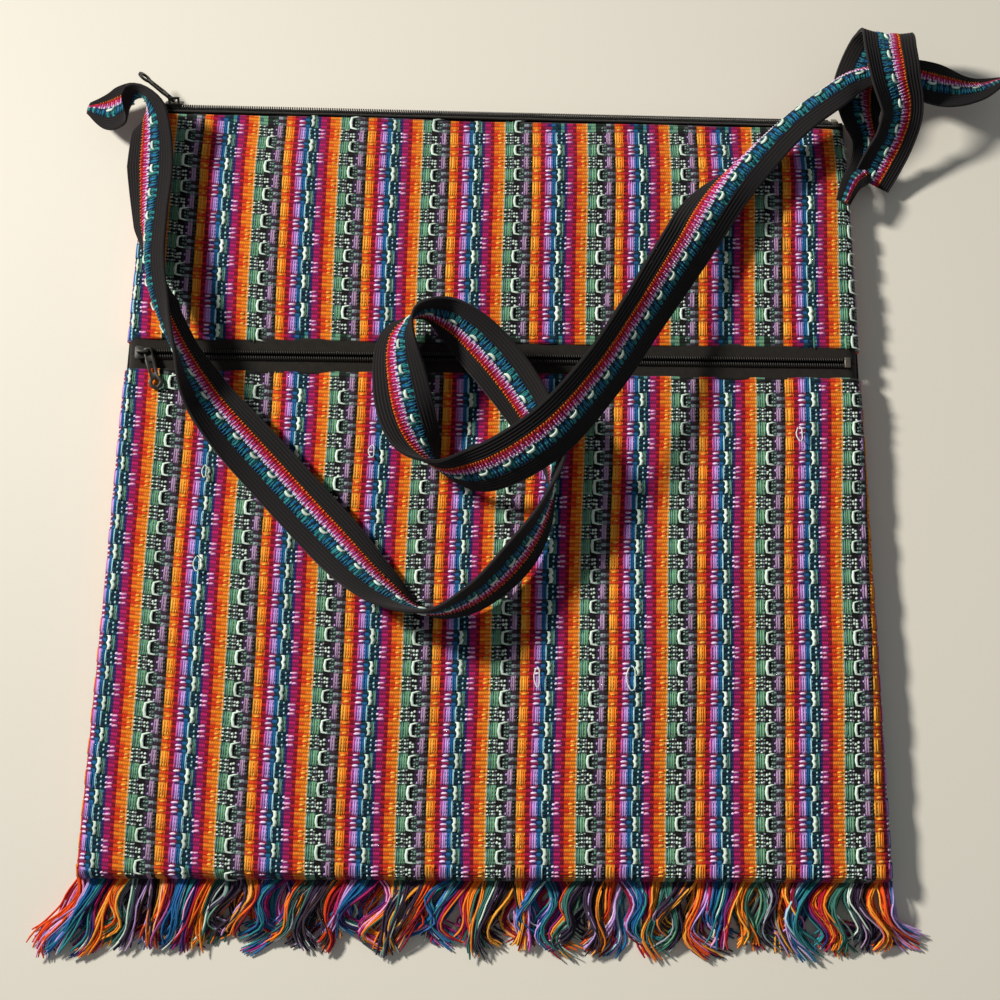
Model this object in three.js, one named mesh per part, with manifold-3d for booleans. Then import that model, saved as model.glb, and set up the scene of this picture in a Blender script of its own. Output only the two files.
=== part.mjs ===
import * as THREE from "three";
import { mergeVertices } from "three/addons/utils/BufferGeometryUtils.js";
import Module from "manifold-3d";

const wasm = await Module();
wasm.setup();

// Bag outline: millimetres, lying on its back with the front up and the top zip towards +Y
const TOP_WIDTH = 337;
const BOTTOM_WIDTH = 362;
const BAG_HEIGHT = 354.8;
const TOP_SHIFT = 3.5;
const BOTTOM_SHIFT = -2;
const TOP_DROP = 8.5;
const BOTTOM_DROP = 2;

// Cloth and how far it stands up
const CLOTH = 1.4;
const GAP = 0.3;
const FRONT_TOP = 13.3;
const CROWN = 1.5;
const TOP_EDGE_CLEARANCE = 0.425;
const TOP_ZIP_STAND_OFF = 0.9;
const EDGE_ROUND = 6.5;
const LINING = 0.6;
const LINING_TOP = 6.9;

// Zips
const TAPE = 0.6;
const COIL_WIDTH = 1.8;
const COIL_HEIGHT = 1.6;
const COIL_SPLIT = 1.0;
const POCKET_OPENING = 14;
const POCKET_ZIP_LEFT = 61;
const POCKET_ZIP_RIGHT = 56;
const TOP_ZIP_TILT = 50;
const TOP_TAPE_MARGIN = 0.7;
const SLIDER_LENGTH = 8.5;
const SLIDER_WALL = 0.9;
const PLATE = 0.8;
const PULL_LENGTH = 19.8;
const PULL_THICKNESS = 0.9;
const POCKET_PULL_TURN = -73;
const TOP_PULL_LIFT = 40;

// Straps and fringe
const STRAP_WIDTH = 26;
const STRAP_THICKNESS = 1.6;
const FRINGE_LENGTH = 31;
const FRINGE_TUFTS = 40;

const { lerp, mapLinear, smoothstep, degToRad } = THREE.MathUtils;
const SEAM = CLOTH + GAP;
const SLIDER_WIDTH = COIL_SPLIT + 2 * (COIL_WIDTH + SLIDER_WALL);
const TOP_TAPE_REACH = SLIDER_WIDTH / 2 + TOP_TAPE_MARGIN;
const TOP_EDGE = SEAM + 2 * TOP_TAPE_REACH * Math.sin(degToRad(TOP_ZIP_TILT)) + TOP_EDGE_CLEARANCE;
const UP = new THREE.Vector3(0, 0, 1);
const TOP_LEFT = [TOP_SHIFT - TOP_WIDTH / 2, (BAG_HEIGHT + TOP_DROP) / 2];
const TOP_RIGHT = [TOP_SHIFT + TOP_WIDTH / 2, (BAG_HEIGHT - TOP_DROP) / 2];
const BOTTOM_LEFT = [BOTTOM_SHIFT - BOTTOM_WIDTH / 2, (BOTTOM_DROP - BAG_HEIGHT) / 2];
const BOTTOM_RIGHT = [BOTTOM_SHIFT + BOTTOM_WIDTH / 2, (-BOTTOM_DROP - BAG_HEIGHT) / 2];

const COLOURS = {
  cloth: 0x7c3f4c,
  lining: 0x2b2a30,
  tape: 0x17171a,
  metal: 0x5a5854,
  strap: 0x2a1f26,
  yarn: 0xb25a48,
};

const part = new THREE.Group();
part.name = "woven_crossbody_bag";

function addNode(name, geometry, colour, roughness, metalness) {
  const plain = geometry.index ? geometry : mergeVertices(geometry, 1e-4);
  plain.computeVertexNormals();
  const material = new THREE.MeshStandardMaterial({ color: COLOURS[colour], roughness, metalness });
  const mesh = new THREE.Mesh(plain, material);
  mesh.name = name;
  part.add(mesh);
}

// Closed meshes and joining them

function fromArrays(points, faces) {
  const geometry = new THREE.BufferGeometry();
  const numbers = points.flatMap((p) => [p.x, p.y, p.z]);
  geometry.setAttribute("position", new THREE.Float32BufferAttribute(numbers, 3));
  geometry.setIndex(faces);
  return geometry;
}

function welded(geometry) {
  geometry.deleteAttribute("normal");
  geometry.deleteAttribute("uv");
  return mergeVertices(geometry, 1e-4);
}

function toSolid(geometry) {
  const clean = welded(geometry);
  const vertProperties = new Float32Array(clean.attributes.position.array);
  const triVerts = new Uint32Array(clean.index.array);
  return new wasm.Manifold(new wasm.Mesh({ numProp: 3, vertProperties, triVerts }));
}

function joined(geometries) {
  let solid = toSolid(geometries[0]);
  for (const next of geometries.slice(1)) {
    solid = solid.add(toSolid(next));
  }
  const mesh = solid.getMesh();
  const geometry = new THREE.BufferGeometry();
  const points = [];
  for (let i = 0; i < mesh.vertProperties.length; i += mesh.numProp) {
    points.push(mesh.vertProperties[i], mesh.vertProperties[i + 1], mesh.vertProperties[i + 2]);
  }
  geometry.setAttribute("position", new THREE.Float32BufferAttribute(points, 3));
  geometry.setIndex(Array.from(mesh.triVerts));
  return geometry;
}

function box(low, high) {
  const size = high.map((value, i) => value - low[i]);
  const middle = high.map((value, i) => (value + low[i]) / 2);
  return new THREE.BoxGeometry(...size).translate(...middle);
}

function extruded(outline, holes, low, high) {
  const shape = new THREE.Shape(outline.map((p) => new THREE.Vector2(...p)));
  for (const hole of holes) {
    shape.holes.push(new THREE.Path(hole.map((p) => new THREE.Vector2(...p))));
  }
  const options = { depth: high - low, bevelEnabled: false, steps: 1 };
  return new THREE.ExtrudeGeometry(shape, options).translate(0, 0, low);
}

function arc(centre, radius, from, to, steps) {
  const points = [];
  for (let i = 0; i <= steps; i += 1) {
    const angle = degToRad(from + ((to - from) * i) / steps);
    points.push([centre[0] + radius * Math.cos(angle), centre[1] + radius * Math.sin(angle)]);
  }
  return points;
}

// A thin sheet from an upper and a lower grid of points, closed round its rim
function sheet(upper, lower) {
  const columns = upper.length;
  const rows = upper[0].length;
  const points = [...upper.flat(), ...lower.flat()];
  const half = columns * rows;
  const at = (i, j) => i * rows + j;
  const faces = [];
  for (let i = 0; i + 1 < columns; i += 1) {
    for (let j = 0; j + 1 < rows; j += 1) {
      const [a, b, c, d] = [at(i, j), at(i + 1, j), at(i + 1, j + 1), at(i, j + 1)];
      faces.push(a, b, c, a, c, d);
      faces.push(half + a, half + c, half + b, half + a, half + d, half + c);
    }
  }
  const rim = [];
  for (let i = 0; i + 1 < columns; i += 1) rim.push(at(i, 0));
  for (let j = 0; j + 1 < rows; j += 1) rim.push(at(columns - 1, j));
  for (let i = columns - 1; i > 0; i -= 1) rim.push(at(i, rows - 1));
  for (let j = rows - 1; j > 0; j -= 1) rim.push(at(0, j));
  rim.forEach((a, k) => {
    const b = rim[(k + 1) % rim.length];
    faces.push(half + a, half + b, b, half + a, b, a);
  });
  return fromArrays(points, faces);
}

// The stuffed front: rounded down to the seam at both sides and the bottom, lower along the top zip

function sidePoint(left, y) {
  const low = left ? BOTTOM_LEFT : BOTTOM_RIGHT;
  const high = left ? TOP_LEFT : TOP_RIGHT;
  return [mapLinear(y, low[1], high[1], low[0], high[0]), y];
}

function patchBetween(lowLeft, lowRight, highLeft, highRight) {
  return (u, v) => {
    const left = [lerp(lowLeft[0], highLeft[0], v), lerp(lowLeft[1], highLeft[1], v)];
    const right = [lerp(lowRight[0], highRight[0], v), lerp(lowRight[1], highRight[1], v)];
    const width = Math.hypot(right[0] - left[0], right[1] - left[1]);
    return {
      x: lerp(left[0], right[0], u),
      y: lerp(left[1], right[1], u),
      side: Math.min(u, 1 - u) * width,
      width,
    };
  };
}

function rounded(distance) {
  const short = 1 - Math.min(1, distance / EDGE_ROUND);
  return Math.sqrt(Math.max(0, 1 - short * short));
}

function lowerFront(u, v) {
  const p = lowerPatch(u, v);
  const top = FRONT_TOP + CROWN * Math.sin(Math.PI * u) * Math.sin(Math.PI * v);
  const height = lowerPatch(0.5, 1).y - lowerPatch(0.5, 0).y;
  return new THREE.Vector3(p.x, p.y, SEAM + (top - SEAM) * rounded(p.side) * rounded(v * height));
}

function upperFront(u, v) {
  const p = upperPatch(u, v);
  const drop = (FRONT_TOP - TOP_EDGE) * smoothstep(v, 0.72, 1);
  const top = FRONT_TOP + CROWN * Math.sin(Math.PI * u) * Math.sin(Math.PI * v) - drop;
  return new THREE.Vector3(p.x, p.y, SEAM + (top - SEAM) * rounded(p.side));
}

function tapeFace(patch) {
  return (u, v) => {
    const p = patch(u, v);
    return new THREE.Vector3(p.x, p.y, SEAM + (FRONT_TOP - SEAM) * rounded(p.side));
  };
}

// Grid of a face moved inwards along its own normal; rims that meet the seam stay on it
function offsetGrid(face, us, vs, depth, onSeam) {
  const step = 2e-4;
  return us.map((u) =>
    vs.map((v) => {
      const here = face(u, v);
      const alongU = face(Math.min(1, u + step), v).sub(face(Math.max(0, u - step), v));
      const alongV = face(u, Math.min(1, v + step)).sub(face(u, Math.max(0, v - step)));
      const normal = alongU.cross(alongV).normalize();
      const moved = here.addScaledVector(normal, -depth);
      if (onSeam(u, v)) moved.z = SEAM;
      return moved;
    }),
  );
}

function edgeSteps(width, count) {
  const near = [0, 0.04, 0.14, 0.31, 0.56, 1].map((f) => (f * EDGE_ROUND) / width);
  const far = near.map((f) => 1 - f).reverse();
  const first = near[near.length - 1];
  const middle = [];
  for (let i = 1; i < count; i += 1) {
    middle.push(first + ((1 - 2 * first) * i) / count);
  }
  return [...near, ...middle, ...far];
}

function evenSteps(count) {
  return Array.from({ length: count + 1 }, (_, i) => i / count);
}

function pocketZipY(x) {
  return mapLinear(x, BOTTOM_LEFT[0], BOTTOM_RIGHT[0], POCKET_ZIP_LEFT, POCKET_ZIP_RIGHT);
}

function zipCorner(left, offset) {
  const guess = left ? BOTTOM_LEFT[0] : BOTTOM_RIGHT[0];
  const first = sidePoint(left, pocketZipY(guess) + offset);
  return sidePoint(left, pocketZipY(first[0]) + offset);
}

const half = POCKET_OPENING / 2;
const lowerPatch = patchBetween(BOTTOM_LEFT, BOTTOM_RIGHT, zipCorner(true, -half), zipCorner(false, -half));
const upperPatch = patchBetween(zipCorner(true, half), zipCorner(false, half), TOP_LEFT, TOP_RIGHT);
const acrossSteps = edgeSteps(BOTTOM_WIDTH, 14);

function addFrontPanels() {
  const height = lowerPatch(0.5, 1).y - lowerPatch(0.5, 0).y;
  const rise = edgeSteps(height, 12);
  const rows = [...rise.slice(0, rise.length - 6), 1];
  const sides = (u, v) => u === 0 || u === 1 || v === 0;
  const lower = [0, CLOTH].map((depth) => offsetGrid(lowerFront, acrossSteps, rows, depth, sides));
  addNode("front_lower_panel", sheet(lower[0], lower[1]), "cloth", 0.95, 0);
  const flanks = (u) => u === 0 || u === 1;
  const upper = [0, CLOTH].map((depth) => offsetGrid(upperFront, acrossSteps, evenSteps(12), depth, flanks));
  addNode("front_upper_panel", sheet(upper[0], upper[1]), "cloth", 0.95, 0);
}

function addBackPanel() {
  const reach = TOP_ZIP_STAND_OFF + 2 * TOP_TAPE_REACH * Math.cos(degToRad(TOP_ZIP_TILT));
  const leftTop = [TOP_LEFT[0], TOP_LEFT[1] + reach];
  const rightTop = [TOP_RIGHT[0], TOP_RIGHT[1] + reach];
  const outline = [BOTTOM_LEFT, BOTTOM_RIGHT, rightTop, leftTop];
  addNode("back_panel", welded(extruded(outline, [], 0, CLOTH)), "cloth", 0.95, 0);
}

// Pocket lining: flat between the two spaces, rising to the pocket zip and going down to the seam
function addPocketLining() {
  const inset = CLOTH + TAPE + 3 * GAP;
  const slope = 10;
  const tail = half + 1;
  const patch = patchBetween(BOTTOM_LEFT, BOTTOM_RIGHT, zipCorner(true, tail), zipCorner(false, tail));
  const length = patch(0.5, 1).y - patch(0.5, 0).y;
  const grid = (drop) =>
    [0, 0.012, 0.025, 0.045, 0.12, 0.25, 0.4, 0.6, 0.75, 0.88, 0.955, 0.975, 0.988, 1].map((f) =>
      [0, 0.015, 0.03, 0.06, 0.2, 0.45, 0.7, 0.9, 0.955, 0.967, 0.979, 0.99, 1].map((g) => {
        const u = inset / BOTTOM_WIDTH + f * (1 - (2 * inset) / BOTTOM_WIDTH);
        const v = inset / length + g * (1 - inset / length);
        const p = patch(u, v);
        const rise = smoothstep((1 - v) * length, 0, slope);
        const top = LINING_TOP + (FRONT_TOP - CLOTH - 2 * GAP - TAPE - LINING_TOP) * (1 - rise);
        const fall = smoothstep(p.side - inset, 0, slope);
        const foot = smoothstep(v * length - inset, 0, slope);
        const edge = SEAM + GAP + LINING;
        return new THREE.Vector3(p.x, p.y, edge + (top - edge) * fall * foot - drop);
      }),
    );
  addNode("pocket_lining", sheet(grid(0), grid(LINING)), "lining", 0.9, 0);
}

// Zips: each is built along x with the coils' middle at y = 0 and the tape's upper face at z = 0

function coilStrip(side, from, to) {
  const near = COIL_SPLIT / 2;
  const far = near + COIL_WIDTH;
  const low = 0.2;
  const high = low + COIL_HEIGHT;
  const bevel = 0.45;
  const outline = [
    [near, low], [far, low], [far, high - bevel],
    [far - bevel, high], [near + bevel, high], [near, high - bevel],
  ].map(([y, z]) => [side * y, z]);
  if (side < 0) outline.reverse();
  const bar = extruded(outline, [], from, to);
  const turn = new THREE.Matrix4().set(0, 0, 1, 0, 1, 0, 0, 0, 0, 1, 0, 0, 0, 0, 0, 1);
  return welded(bar.applyMatrix4(turn));
}

function endStop(at) {
  const reach = COIL_SPLIT / 2 + COIL_WIDTH + 0.1;
  return welded(box([at, -reach, 0.2], [at + 2.6, reach, 0.2 + COIL_HEIGHT]));
}

// Height of the slider's upper face, and of the plate that runs below the tape
const PLATE_FOOT = 0.2 + COIL_HEIGHT + 0.3;
const PLATE_TOP = PLATE_FOOT + PLATE;
const BAIL_POST = 2.2;
const BAIL_GAP = 1.7;
const EYE_SLOT = 1.1;

function slider() {
  const wide = SLIDER_WIDTH / 2;
  const narrow = wide - 0.6;
  const back = SLIDER_LENGTH / 2;
  const plan = [
    [back, -narrow + 0.5], [back, narrow - 0.5], [back - 0.5, narrow], [0, narrow],
    [-back + 2.2, wide], [-back + 0.6, wide], [-back, wide - 0.8],
    [-back, -wide + 0.8], [-back + 0.6, -wide], [-back + 2.2, -wide],
    [0, -narrow], [back - 0.5, -narrow],
  ];
  const under = -TAPE - 0.5;
  const rail = COIL_SPLIT / 2 + COIL_WIDTH + 0.2;
  const pieces = [
    extruded(plan, [], PLATE_FOOT, PLATE_TOP),
    extruded(plan, [], under - PLATE, under),
    box([-back + 0.5, -0.25, under - 0.1], [-back + 3.2, 0.25, PLATE_FOOT + 0.1]),
    box([-back + 2.6, rail, PLATE_FOOT - 0.7], [back - 0.6, narrow, PLATE_FOOT + 0.1]),
    box([-back + 2.6, -narrow, PLATE_FOOT - 0.7], [back - 0.6, -rail, PLATE_FOOT + 0.1]),
    box([-BAIL_POST - 0.5, -0.65, PLATE_TOP - 0.1], [-BAIL_POST + 0.5, 0.65, PLATE_TOP + BAIL_GAP + 0.1]),
    box([BAIL_POST - 0.5, -0.65, PLATE_TOP - 0.1], [BAIL_POST + 0.5, 0.65, PLATE_TOP + BAIL_GAP + 0.1]),
    box([-BAIL_POST - 0.5, -0.65, PLATE_TOP + BAIL_GAP], [BAIL_POST + 0.5, 0.65, PLATE_TOP + BAIL_GAP + 0.9]),
  ];
  return joined(pieces);
}

// Pull: a slotted eye at the origin, a tab with a window, and a ring at the end, along +x
function pull() {
  const ring = [PULL_LENGTH - 3.3, 0];
  const outline = [
    [-0.45, -1.2], [0.3, -2], [4.6, -2], [5.4, -2.3], [ring[0] - 4, -1.9],
    ...arc(ring, 3.3, -145, 145, 14),
    [ring[0] - 4, 1.9], [5.4, 2.3], [4.6, 2], [0.3, 2], [-0.45, 1.2],
  ];
  const slot = [[0.45, -EYE_SLOT], [0.45, EYE_SLOT], [3.6, EYE_SLOT], [3.6, -EYE_SLOT]];
  const windowLow = 6.4;
  const windowHigh = ring[0] - 4.6;
  const pane = [[windowLow, -0.8], [windowLow, 0.8], [windowHigh, 0.8], [windowHigh, -0.8]];
  const eye = arc(ring, 1.7, 360, 22.5, 15);
  return welded(extruded(outline, [slot, pane, eye], -PULL_THICKNESS / 2, PULL_THICKNESS / 2));
}

function frameOf(along, across, origin) {
  const normal = new THREE.Vector3().crossVectors(along, across);
  return new THREE.Matrix4().makeBasis(along, across, normal).setPosition(origin);
}

const pocketStart = new THREE.Vector3(...zipCorner(true, 0), FRONT_TOP - CLOTH - GAP);
const pocketEnd = new THREE.Vector3(...zipCorner(false, 0), FRONT_TOP - CLOTH - GAP);
const pocketAlong = pocketEnd.clone().sub(pocketStart);
const pocketLength = pocketAlong.length();
pocketAlong.normalize();
const pocketFrame = frameOf(pocketAlong, new THREE.Vector3().crossVectors(UP, pocketAlong), pocketStart);

function addPocketZip() {
  const inner = COIL_SPLIT / 2 + 0.4;
  const outer = half + 1.5;
  const depth = CLOTH + GAP;
  const ends = (u) => u === 0 || u === 1;
  const steps = edgeSteps(BOTTOM_WIDTH, 4);
  const tapes = [["front_zip_tape_upper", inner, outer], ["front_zip_tape_lower", -outer, -inner]];
  for (const [name, low, high] of tapes) {
    const corners = [low, high].flatMap((y) => [zipCorner(true, y), zipCorner(false, y)]);
    const face = tapeFace(patchBetween(...corners));
    const grids = [depth, depth + TAPE].map((d) => offsetGrid(face, steps, [0, 1], d, ends));
    addNode(name, sheet(grids[0], grids[1]), "tape", 0.9, 0);
  }
  const first = EDGE_ROUND + 0.5;
  const last = pocketLength - EDGE_ROUND - 3.4;
  addNode("front_zip_coil_upper", coilStrip(1, first, last).applyMatrix4(pocketFrame), "tape", 0.5, 0);
  addNode("front_zip_coil_lower", coilStrip(-1, first, last).applyMatrix4(pocketFrame), "tape", 0.5, 0);
  addNode("front_zip_end_stop", endStop(last + 0.3).applyMatrix4(pocketFrame), "metal", 0.4, 0.9);
  const rest = new THREE.Vector3(EDGE_ROUND + SLIDER_LENGTH / 2 + 0.6, 0, 0);
  const body = slider().translate(rest.x, rest.y, rest.z);
  addNode("front_zip_slider", body.applyMatrix4(pocketFrame), "metal", 0.4, 0.9);
  const turn = degToRad(POCKET_PULL_TURN);
  const eye = new THREE.Vector3(rest.x + BAIL_POST, 0, PLATE_TOP + BAIL_GAP / 2);
  const placed = pull().translate(-0.45 - EYE_SLOT, 0, 0).rotateZ(turn).translate(eye.x, eye.y, eye.z);
  addNode("front_zip_pull", placed.applyMatrix4(pocketFrame), "metal", 0.4, 0.9);
}

const tilt = degToRad(TOP_ZIP_TILT);
const topAlong = new THREE.Vector3(TOP_RIGHT[0] - TOP_LEFT[0], TOP_RIGHT[1] - TOP_LEFT[1], 0);
const topLength = topAlong.length();
topAlong.normalize();
const topOut = new THREE.Vector3().crossVectors(UP, topAlong);
const topAcross = topOut.clone().multiplyScalar(Math.cos(tilt)).addScaledVector(UP, -Math.sin(tilt));
const topMiddle = new THREE.Vector3(TOP_LEFT[0], TOP_LEFT[1], TOP_EDGE)
  .addScaledVector(topOut, TOP_ZIP_STAND_OFF)
  .addScaledVector(topAcross, TOP_TAPE_REACH);
const topFrame = frameOf(topAlong, topAcross, topMiddle);

function addTopZip() {
  const inner = COIL_SPLIT / 2 + 0.4;
  const margin = 3;
  const tape = (low, high) => welded(box([margin, low, -TAPE], [topLength - margin, high, 0]));
  addNode("top_zip_tape_front", tape(-TOP_TAPE_REACH, -inner).applyMatrix4(topFrame), "tape", 0.9, 0);
  addNode("top_zip_tape_back", tape(inner, TOP_TAPE_REACH).applyMatrix4(topFrame), "tape", 0.9, 0);
  const first = margin + 1;
  const last = topLength - margin - 4;
  addNode("top_zip_coil_front", coilStrip(-1, first, last).applyMatrix4(topFrame), "tape", 0.5, 0);
  addNode("top_zip_coil_back", coilStrip(1, first, last).applyMatrix4(topFrame), "tape", 0.5, 0);
  addNode("top_zip_end_stop", endStop(last + 0.3).applyMatrix4(topFrame), "metal", 0.4, 0.9);
  const rest = first + SLIDER_LENGTH / 2 + 4;
  addNode("top_zip_slider", slider().translate(rest, 0, 0).applyMatrix4(topFrame), "metal", 0.4, 0.9);
  const lift = degToRad(180 + TOP_PULL_LIFT);
  const placed = pull().rotateY(lift).translate(rest, 0, PLATE_TOP + BAIL_GAP / 2);
  addNode("top_zip_pull", placed.applyMatrix4(topFrame), "metal", 0.4, 0.9);
}

// Straps: a flat band through chosen stations, each with its own edge direction and width

function band(stations, thicknessAt, steps) {
  const spots = stations.map((s) => s.at);
  const path = new THREE.CatmullRomCurve3(spots, false, "centripetal");
  const edges = new THREE.CatmullRomCurve3(stations.map((s) => s.edge), false, "catmullrom");
  const widths = stations.map((s) => new THREE.Vector3(s.width, 0, 0));
  const sizes = new THREE.CatmullRomCurve3(widths, false, "catmullrom");
  const count = (stations.length - 1) * steps;
  const points = [];
  for (let i = 0; i <= count; i += 1) {
    const t = i / count;
    const middle = path.getPoint(t);
    const along = path.getTangent(t);
    const edge = edges.getPoint(t);
    edge.addScaledVector(along, -edge.dot(along)).normalize();
    const face = new THREE.Vector3().crossVectors(along, edge);
    const wide = sizes.getPoint(t).x / 2;
    const thick = thicknessAt(t) / 2;
    for (const [a, b] of [[1, 1], [-1, 1], [-1, -1], [1, -1]]) {
      points.push(middle.clone().addScaledVector(edge, a * wide).addScaledVector(face, b * thick));
    }
  }
  const faces = [0, 2, 1, 0, 3, 2];
  for (let i = 0; i < count; i += 1) {
    for (let k = 0; k < 4; k += 1) {
      const a = 4 * i + k;
      const b = 4 * i + ((k + 1) % 4);
      faces.push(a, b, b + 4, a, b + 4, a + 4);
    }
  }
  const end = 4 * count;
  faces.push(end, end + 1, end + 2, end, end + 2, end + 3);
  return fromArrays(points, faces);
}

const REACH_X = BOTTOM_WIDTH / 362;
const REACH_Y = BAG_HEIGHT / 354.8;
const WIDE = STRAP_WIDTH / 26;

// A wider strap needs more room to roll, so what lies above the front rises with its width
function station(x, y, z, edge, width) {
  const height = FRONT_TOP + (z > 0 ? z * WIDE : z);
  return { at: new THREE.Vector3(x * REACH_X, y * REACH_Y, height), edge, width: width * WIDE };
}

// Shoulder strap: x, y, height above the front, roll about the path in degrees, width
const SHOULDER_ROUTE = [
  [-193, 184, -5, -15, 5],
  [-181, 184, -1, -30, 20],
  [-171, 186.5, 4, -66, 24],
  [-162.5, 184.5, 8, -92, 22],
  [-158.5, 171, 11.5, -118, 25],
  [-158, 149, 10, -145, 26],
  [-157, 121, 12, -150, 26],
  [-154, 99, 17, -125, 26],
  [-149, 79, 18.5, -90, 26],
  [-138.5, 58, 17, -55, 26],
  [-124, 35, 13, -22, 26],
  [-100.5, 6.5, 8, 0, 26],
  [-73, -23, 8, -10, 26],
  [-48, -48, 13, -48, 26],
  [-27.5, -60, 15, -90, 26],
  [-8, -54.5, 14.9, -112, 26],
  [14, -34.5, 14.3, -122, 26],
  [27, -10.5, 15, -100, 26],
  [28.5, 10, 14.4, -65, 26],
  [18.5, 30, 14.5, -40, 26],
  [0, 55, 18, -30, 26],
  [-18, 71, 20.5, -58, 26],
  [-31.5, 74, 20.5, -95, 26],
  [-40.5, 63.5, 19.5, -135, 26],
  [-39.5, 41.5, 16.5, -168, 26],
  [-33, 19, 15, -210, 26],
  [-21.5, 4, 16, -268, 26],
  [-4, 2, 22, -312, 26],
  [24.5, 15.5, 33, -350, 26],
  [48.5, 42, 30, -354, 26],
  [69, 73, 23, -356, 26],
  [91, 107.5, 16.5, -358, 26],
  [112.5, 141.5, 13, -360, 26],
  [136.5, 168.5, 12, -360, 26],
  [157, 184.5, 11.5, -352, 25],
  [171, 192.5, 10.5, -350, 19],
  [184.5, 194, 10, -360, 13],
  [200, 191, 9.5, -360, 19],
  [215, 188, 7.5, -368, 22],
  [231, 189, 3, -380, 15],
  [247, 195.5, -1.5, -395, 5],
];

// Tie strap: x, y, height above the front, direction of one edge, width
const TIE_ROUTE = [
  [166.5, 133, 1.5, [-1, 0.25, 0.05], 5],
  [170.5, 142, 1.6, [-1, 0.25, 0.05], 7],
  [178, 152, -4, [-0.9, 0.35, 0.35], 12],
  [180.5, 166, -4, [-0.95, 0, 0.4], 16],
  [177.5, 179, -2.5, [-1, 0, 0.3], 22],
  [178, 191, -4.5, [-1, 0.2, 0], 25],
  [182, 204, -3.5, [-1, 0.2, 0], 25],
  [185.5, 212.5, 5, [-1, 0.1, 0], 24],
  [186, 210.5, 16.5, [-1, 0.1, 0], 24],
  [185, 199, 23, [-1, -0.15, 0.05], 24],
  [187, 185.5, 22.5, [-0.95, -0.25, 0.1], 24],
  [192, 173, 15, [-0.8, 0.3, 0.5], 22],
  [191, 163, 7, [-0.7, 0.4, 0.6], 22],
  [186.5, 153.5, 0, [-0.7, 0.45, 0.5], 22],
  [182, 145, -5, [-0.75, 0.45, 0.35], 20],
];

function addStraps() {
  const spots = SHOULDER_ROUTE.map(([x, y, z]) => station(x, y, z, null, 0).at);
  const path = new THREE.CatmullRomCurve3(spots, false, "centripetal");
  const shoulder = SHOULDER_ROUTE.map(([x, y, z, roll, width], i) => {
    const along = path.getTangent(i / (SHOULDER_ROUTE.length - 1));
    const left = new THREE.Vector3(-along.y, along.x, 0).normalize();
    const angle = degToRad(roll);
    const edge = left.multiplyScalar(Math.cos(angle)).addScaledVector(UP, Math.sin(angle));
    return station(x, y, z, edge, width);
  });
  addNode("shoulder_strap", band(shoulder, () => STRAP_THICKNESS, 4), "strap", 0.95, 0);
  const tie = TIE_ROUTE.map(([x, y, z, edge, width]) => station(x, y, z, new THREE.Vector3(...edge), width));
  addNode("tie_strap", band(tie, () => STRAP_THICKNESS, 5), "strap", 0.95, 0);
}

// Fringe: tapering tufts on a narrow band below the bottom seam

function tuft(root, tip, sag, wide, thick) {
  const rings = [[0, 0.8], [0.35, 1], [0.75, 0.85], [1, 0.3]];
  const sides = 6;
  const points = [];
  for (const [t, size] of rings) {
    const x = lerp(root.x, tip.x, t * t);
    const y = lerp(root.y, tip.y, t);
    const z = lerp(root.z, tip.z, t) + sag * Math.sin(Math.PI * t);
    for (let k = 0; k < sides; k += 1) {
      const angle = (2 * Math.PI * k) / sides;
      const [across, over] = [wide * size * Math.cos(angle), thick * size * Math.sin(angle)];
      points.push(new THREE.Vector3(x + across, y, z + over));
    }
  }
  const faces = [];
  for (let r = 0; r + 1 < rings.length; r += 1) {
    for (let k = 0; k < sides; k += 1) {
      const a = r * sides + k;
      const b = r * sides + ((k + 1) % sides);
      faces.push(a, b, b + sides, a, b + sides, a + sides);
    }
  }
  const last = (rings.length - 1) * sides;
  for (let k = 1; k + 1 < sides; k += 1) {
    faces.push(0, k + 1, k);
    faces.push(last, last + k, last + k + 1);
  }
  return fromArrays(points, faces);
}

function fringe(height, thick, phase) {
  const y = (x) => mapLinear(x, BOTTOM_LEFT[0], BOTTOM_RIGHT[0], BOTTOM_LEFT[1], BOTTOM_RIGHT[1]);
  const left = BOTTOM_LEFT[0] + 2;
  const right = BOTTOM_RIGHT[0] - 2;
  const below = (x, drop) => [x, y(x) - drop];
  const strip = [below(left, GAP + 3), below(right, GAP + 3), below(right, GAP), below(left, GAP)];
  const pieces = [extruded(strip, [], height - thick * 0.7, height + thick * 0.7)];
  const pitch = (right - left) / FRINGE_TUFTS;
  for (let i = 0; i < FRINGE_TUFTS; i += 1) {
    const x = left + (i + 0.5) * pitch;
    const corner = Math.pow((2 * (i + 0.5)) / FRINGE_TUFTS - 1, 7);
    const lean = 3 * Math.sin(0.8 * i + phase) + 14 * corner;
    const length = FRINGE_LENGTH * (0.9 + 0.1 * Math.sin(2.1 * i + 2 * phase)) - 4 * Math.abs(corner);
    const root = new THREE.Vector3(x, y(x) - GAP - 1, height);
    const tip = new THREE.Vector3(x + lean, y(x) - length, height);
    pieces.push(tuft(root, tip, 0, pitch * 0.44, thick));
  }
  return joined(pieces);
}

addFrontPanels();
addBackPanel();
addPocketLining();
addPocketZip();
addTopZip();
addStraps();
addNode("front_fringe", fringe(SEAM + 2.2, 1.7, 0), "yarn", 0.95, 0);
addNode("back_fringe", fringe(0.95, 0.65, 1.3), "yarn", 0.95, 0);

export default part;
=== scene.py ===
"""Looks of a striped handwoven crossbody bag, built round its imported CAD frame."""

import math
from contextlib import contextmanager

import bmesh
import bpy
import numpy as np
from bpy.props import FloatProperty, FloatVectorProperty, IntProperty, PointerProperty
from mathutils import Matrix, Vector


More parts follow.
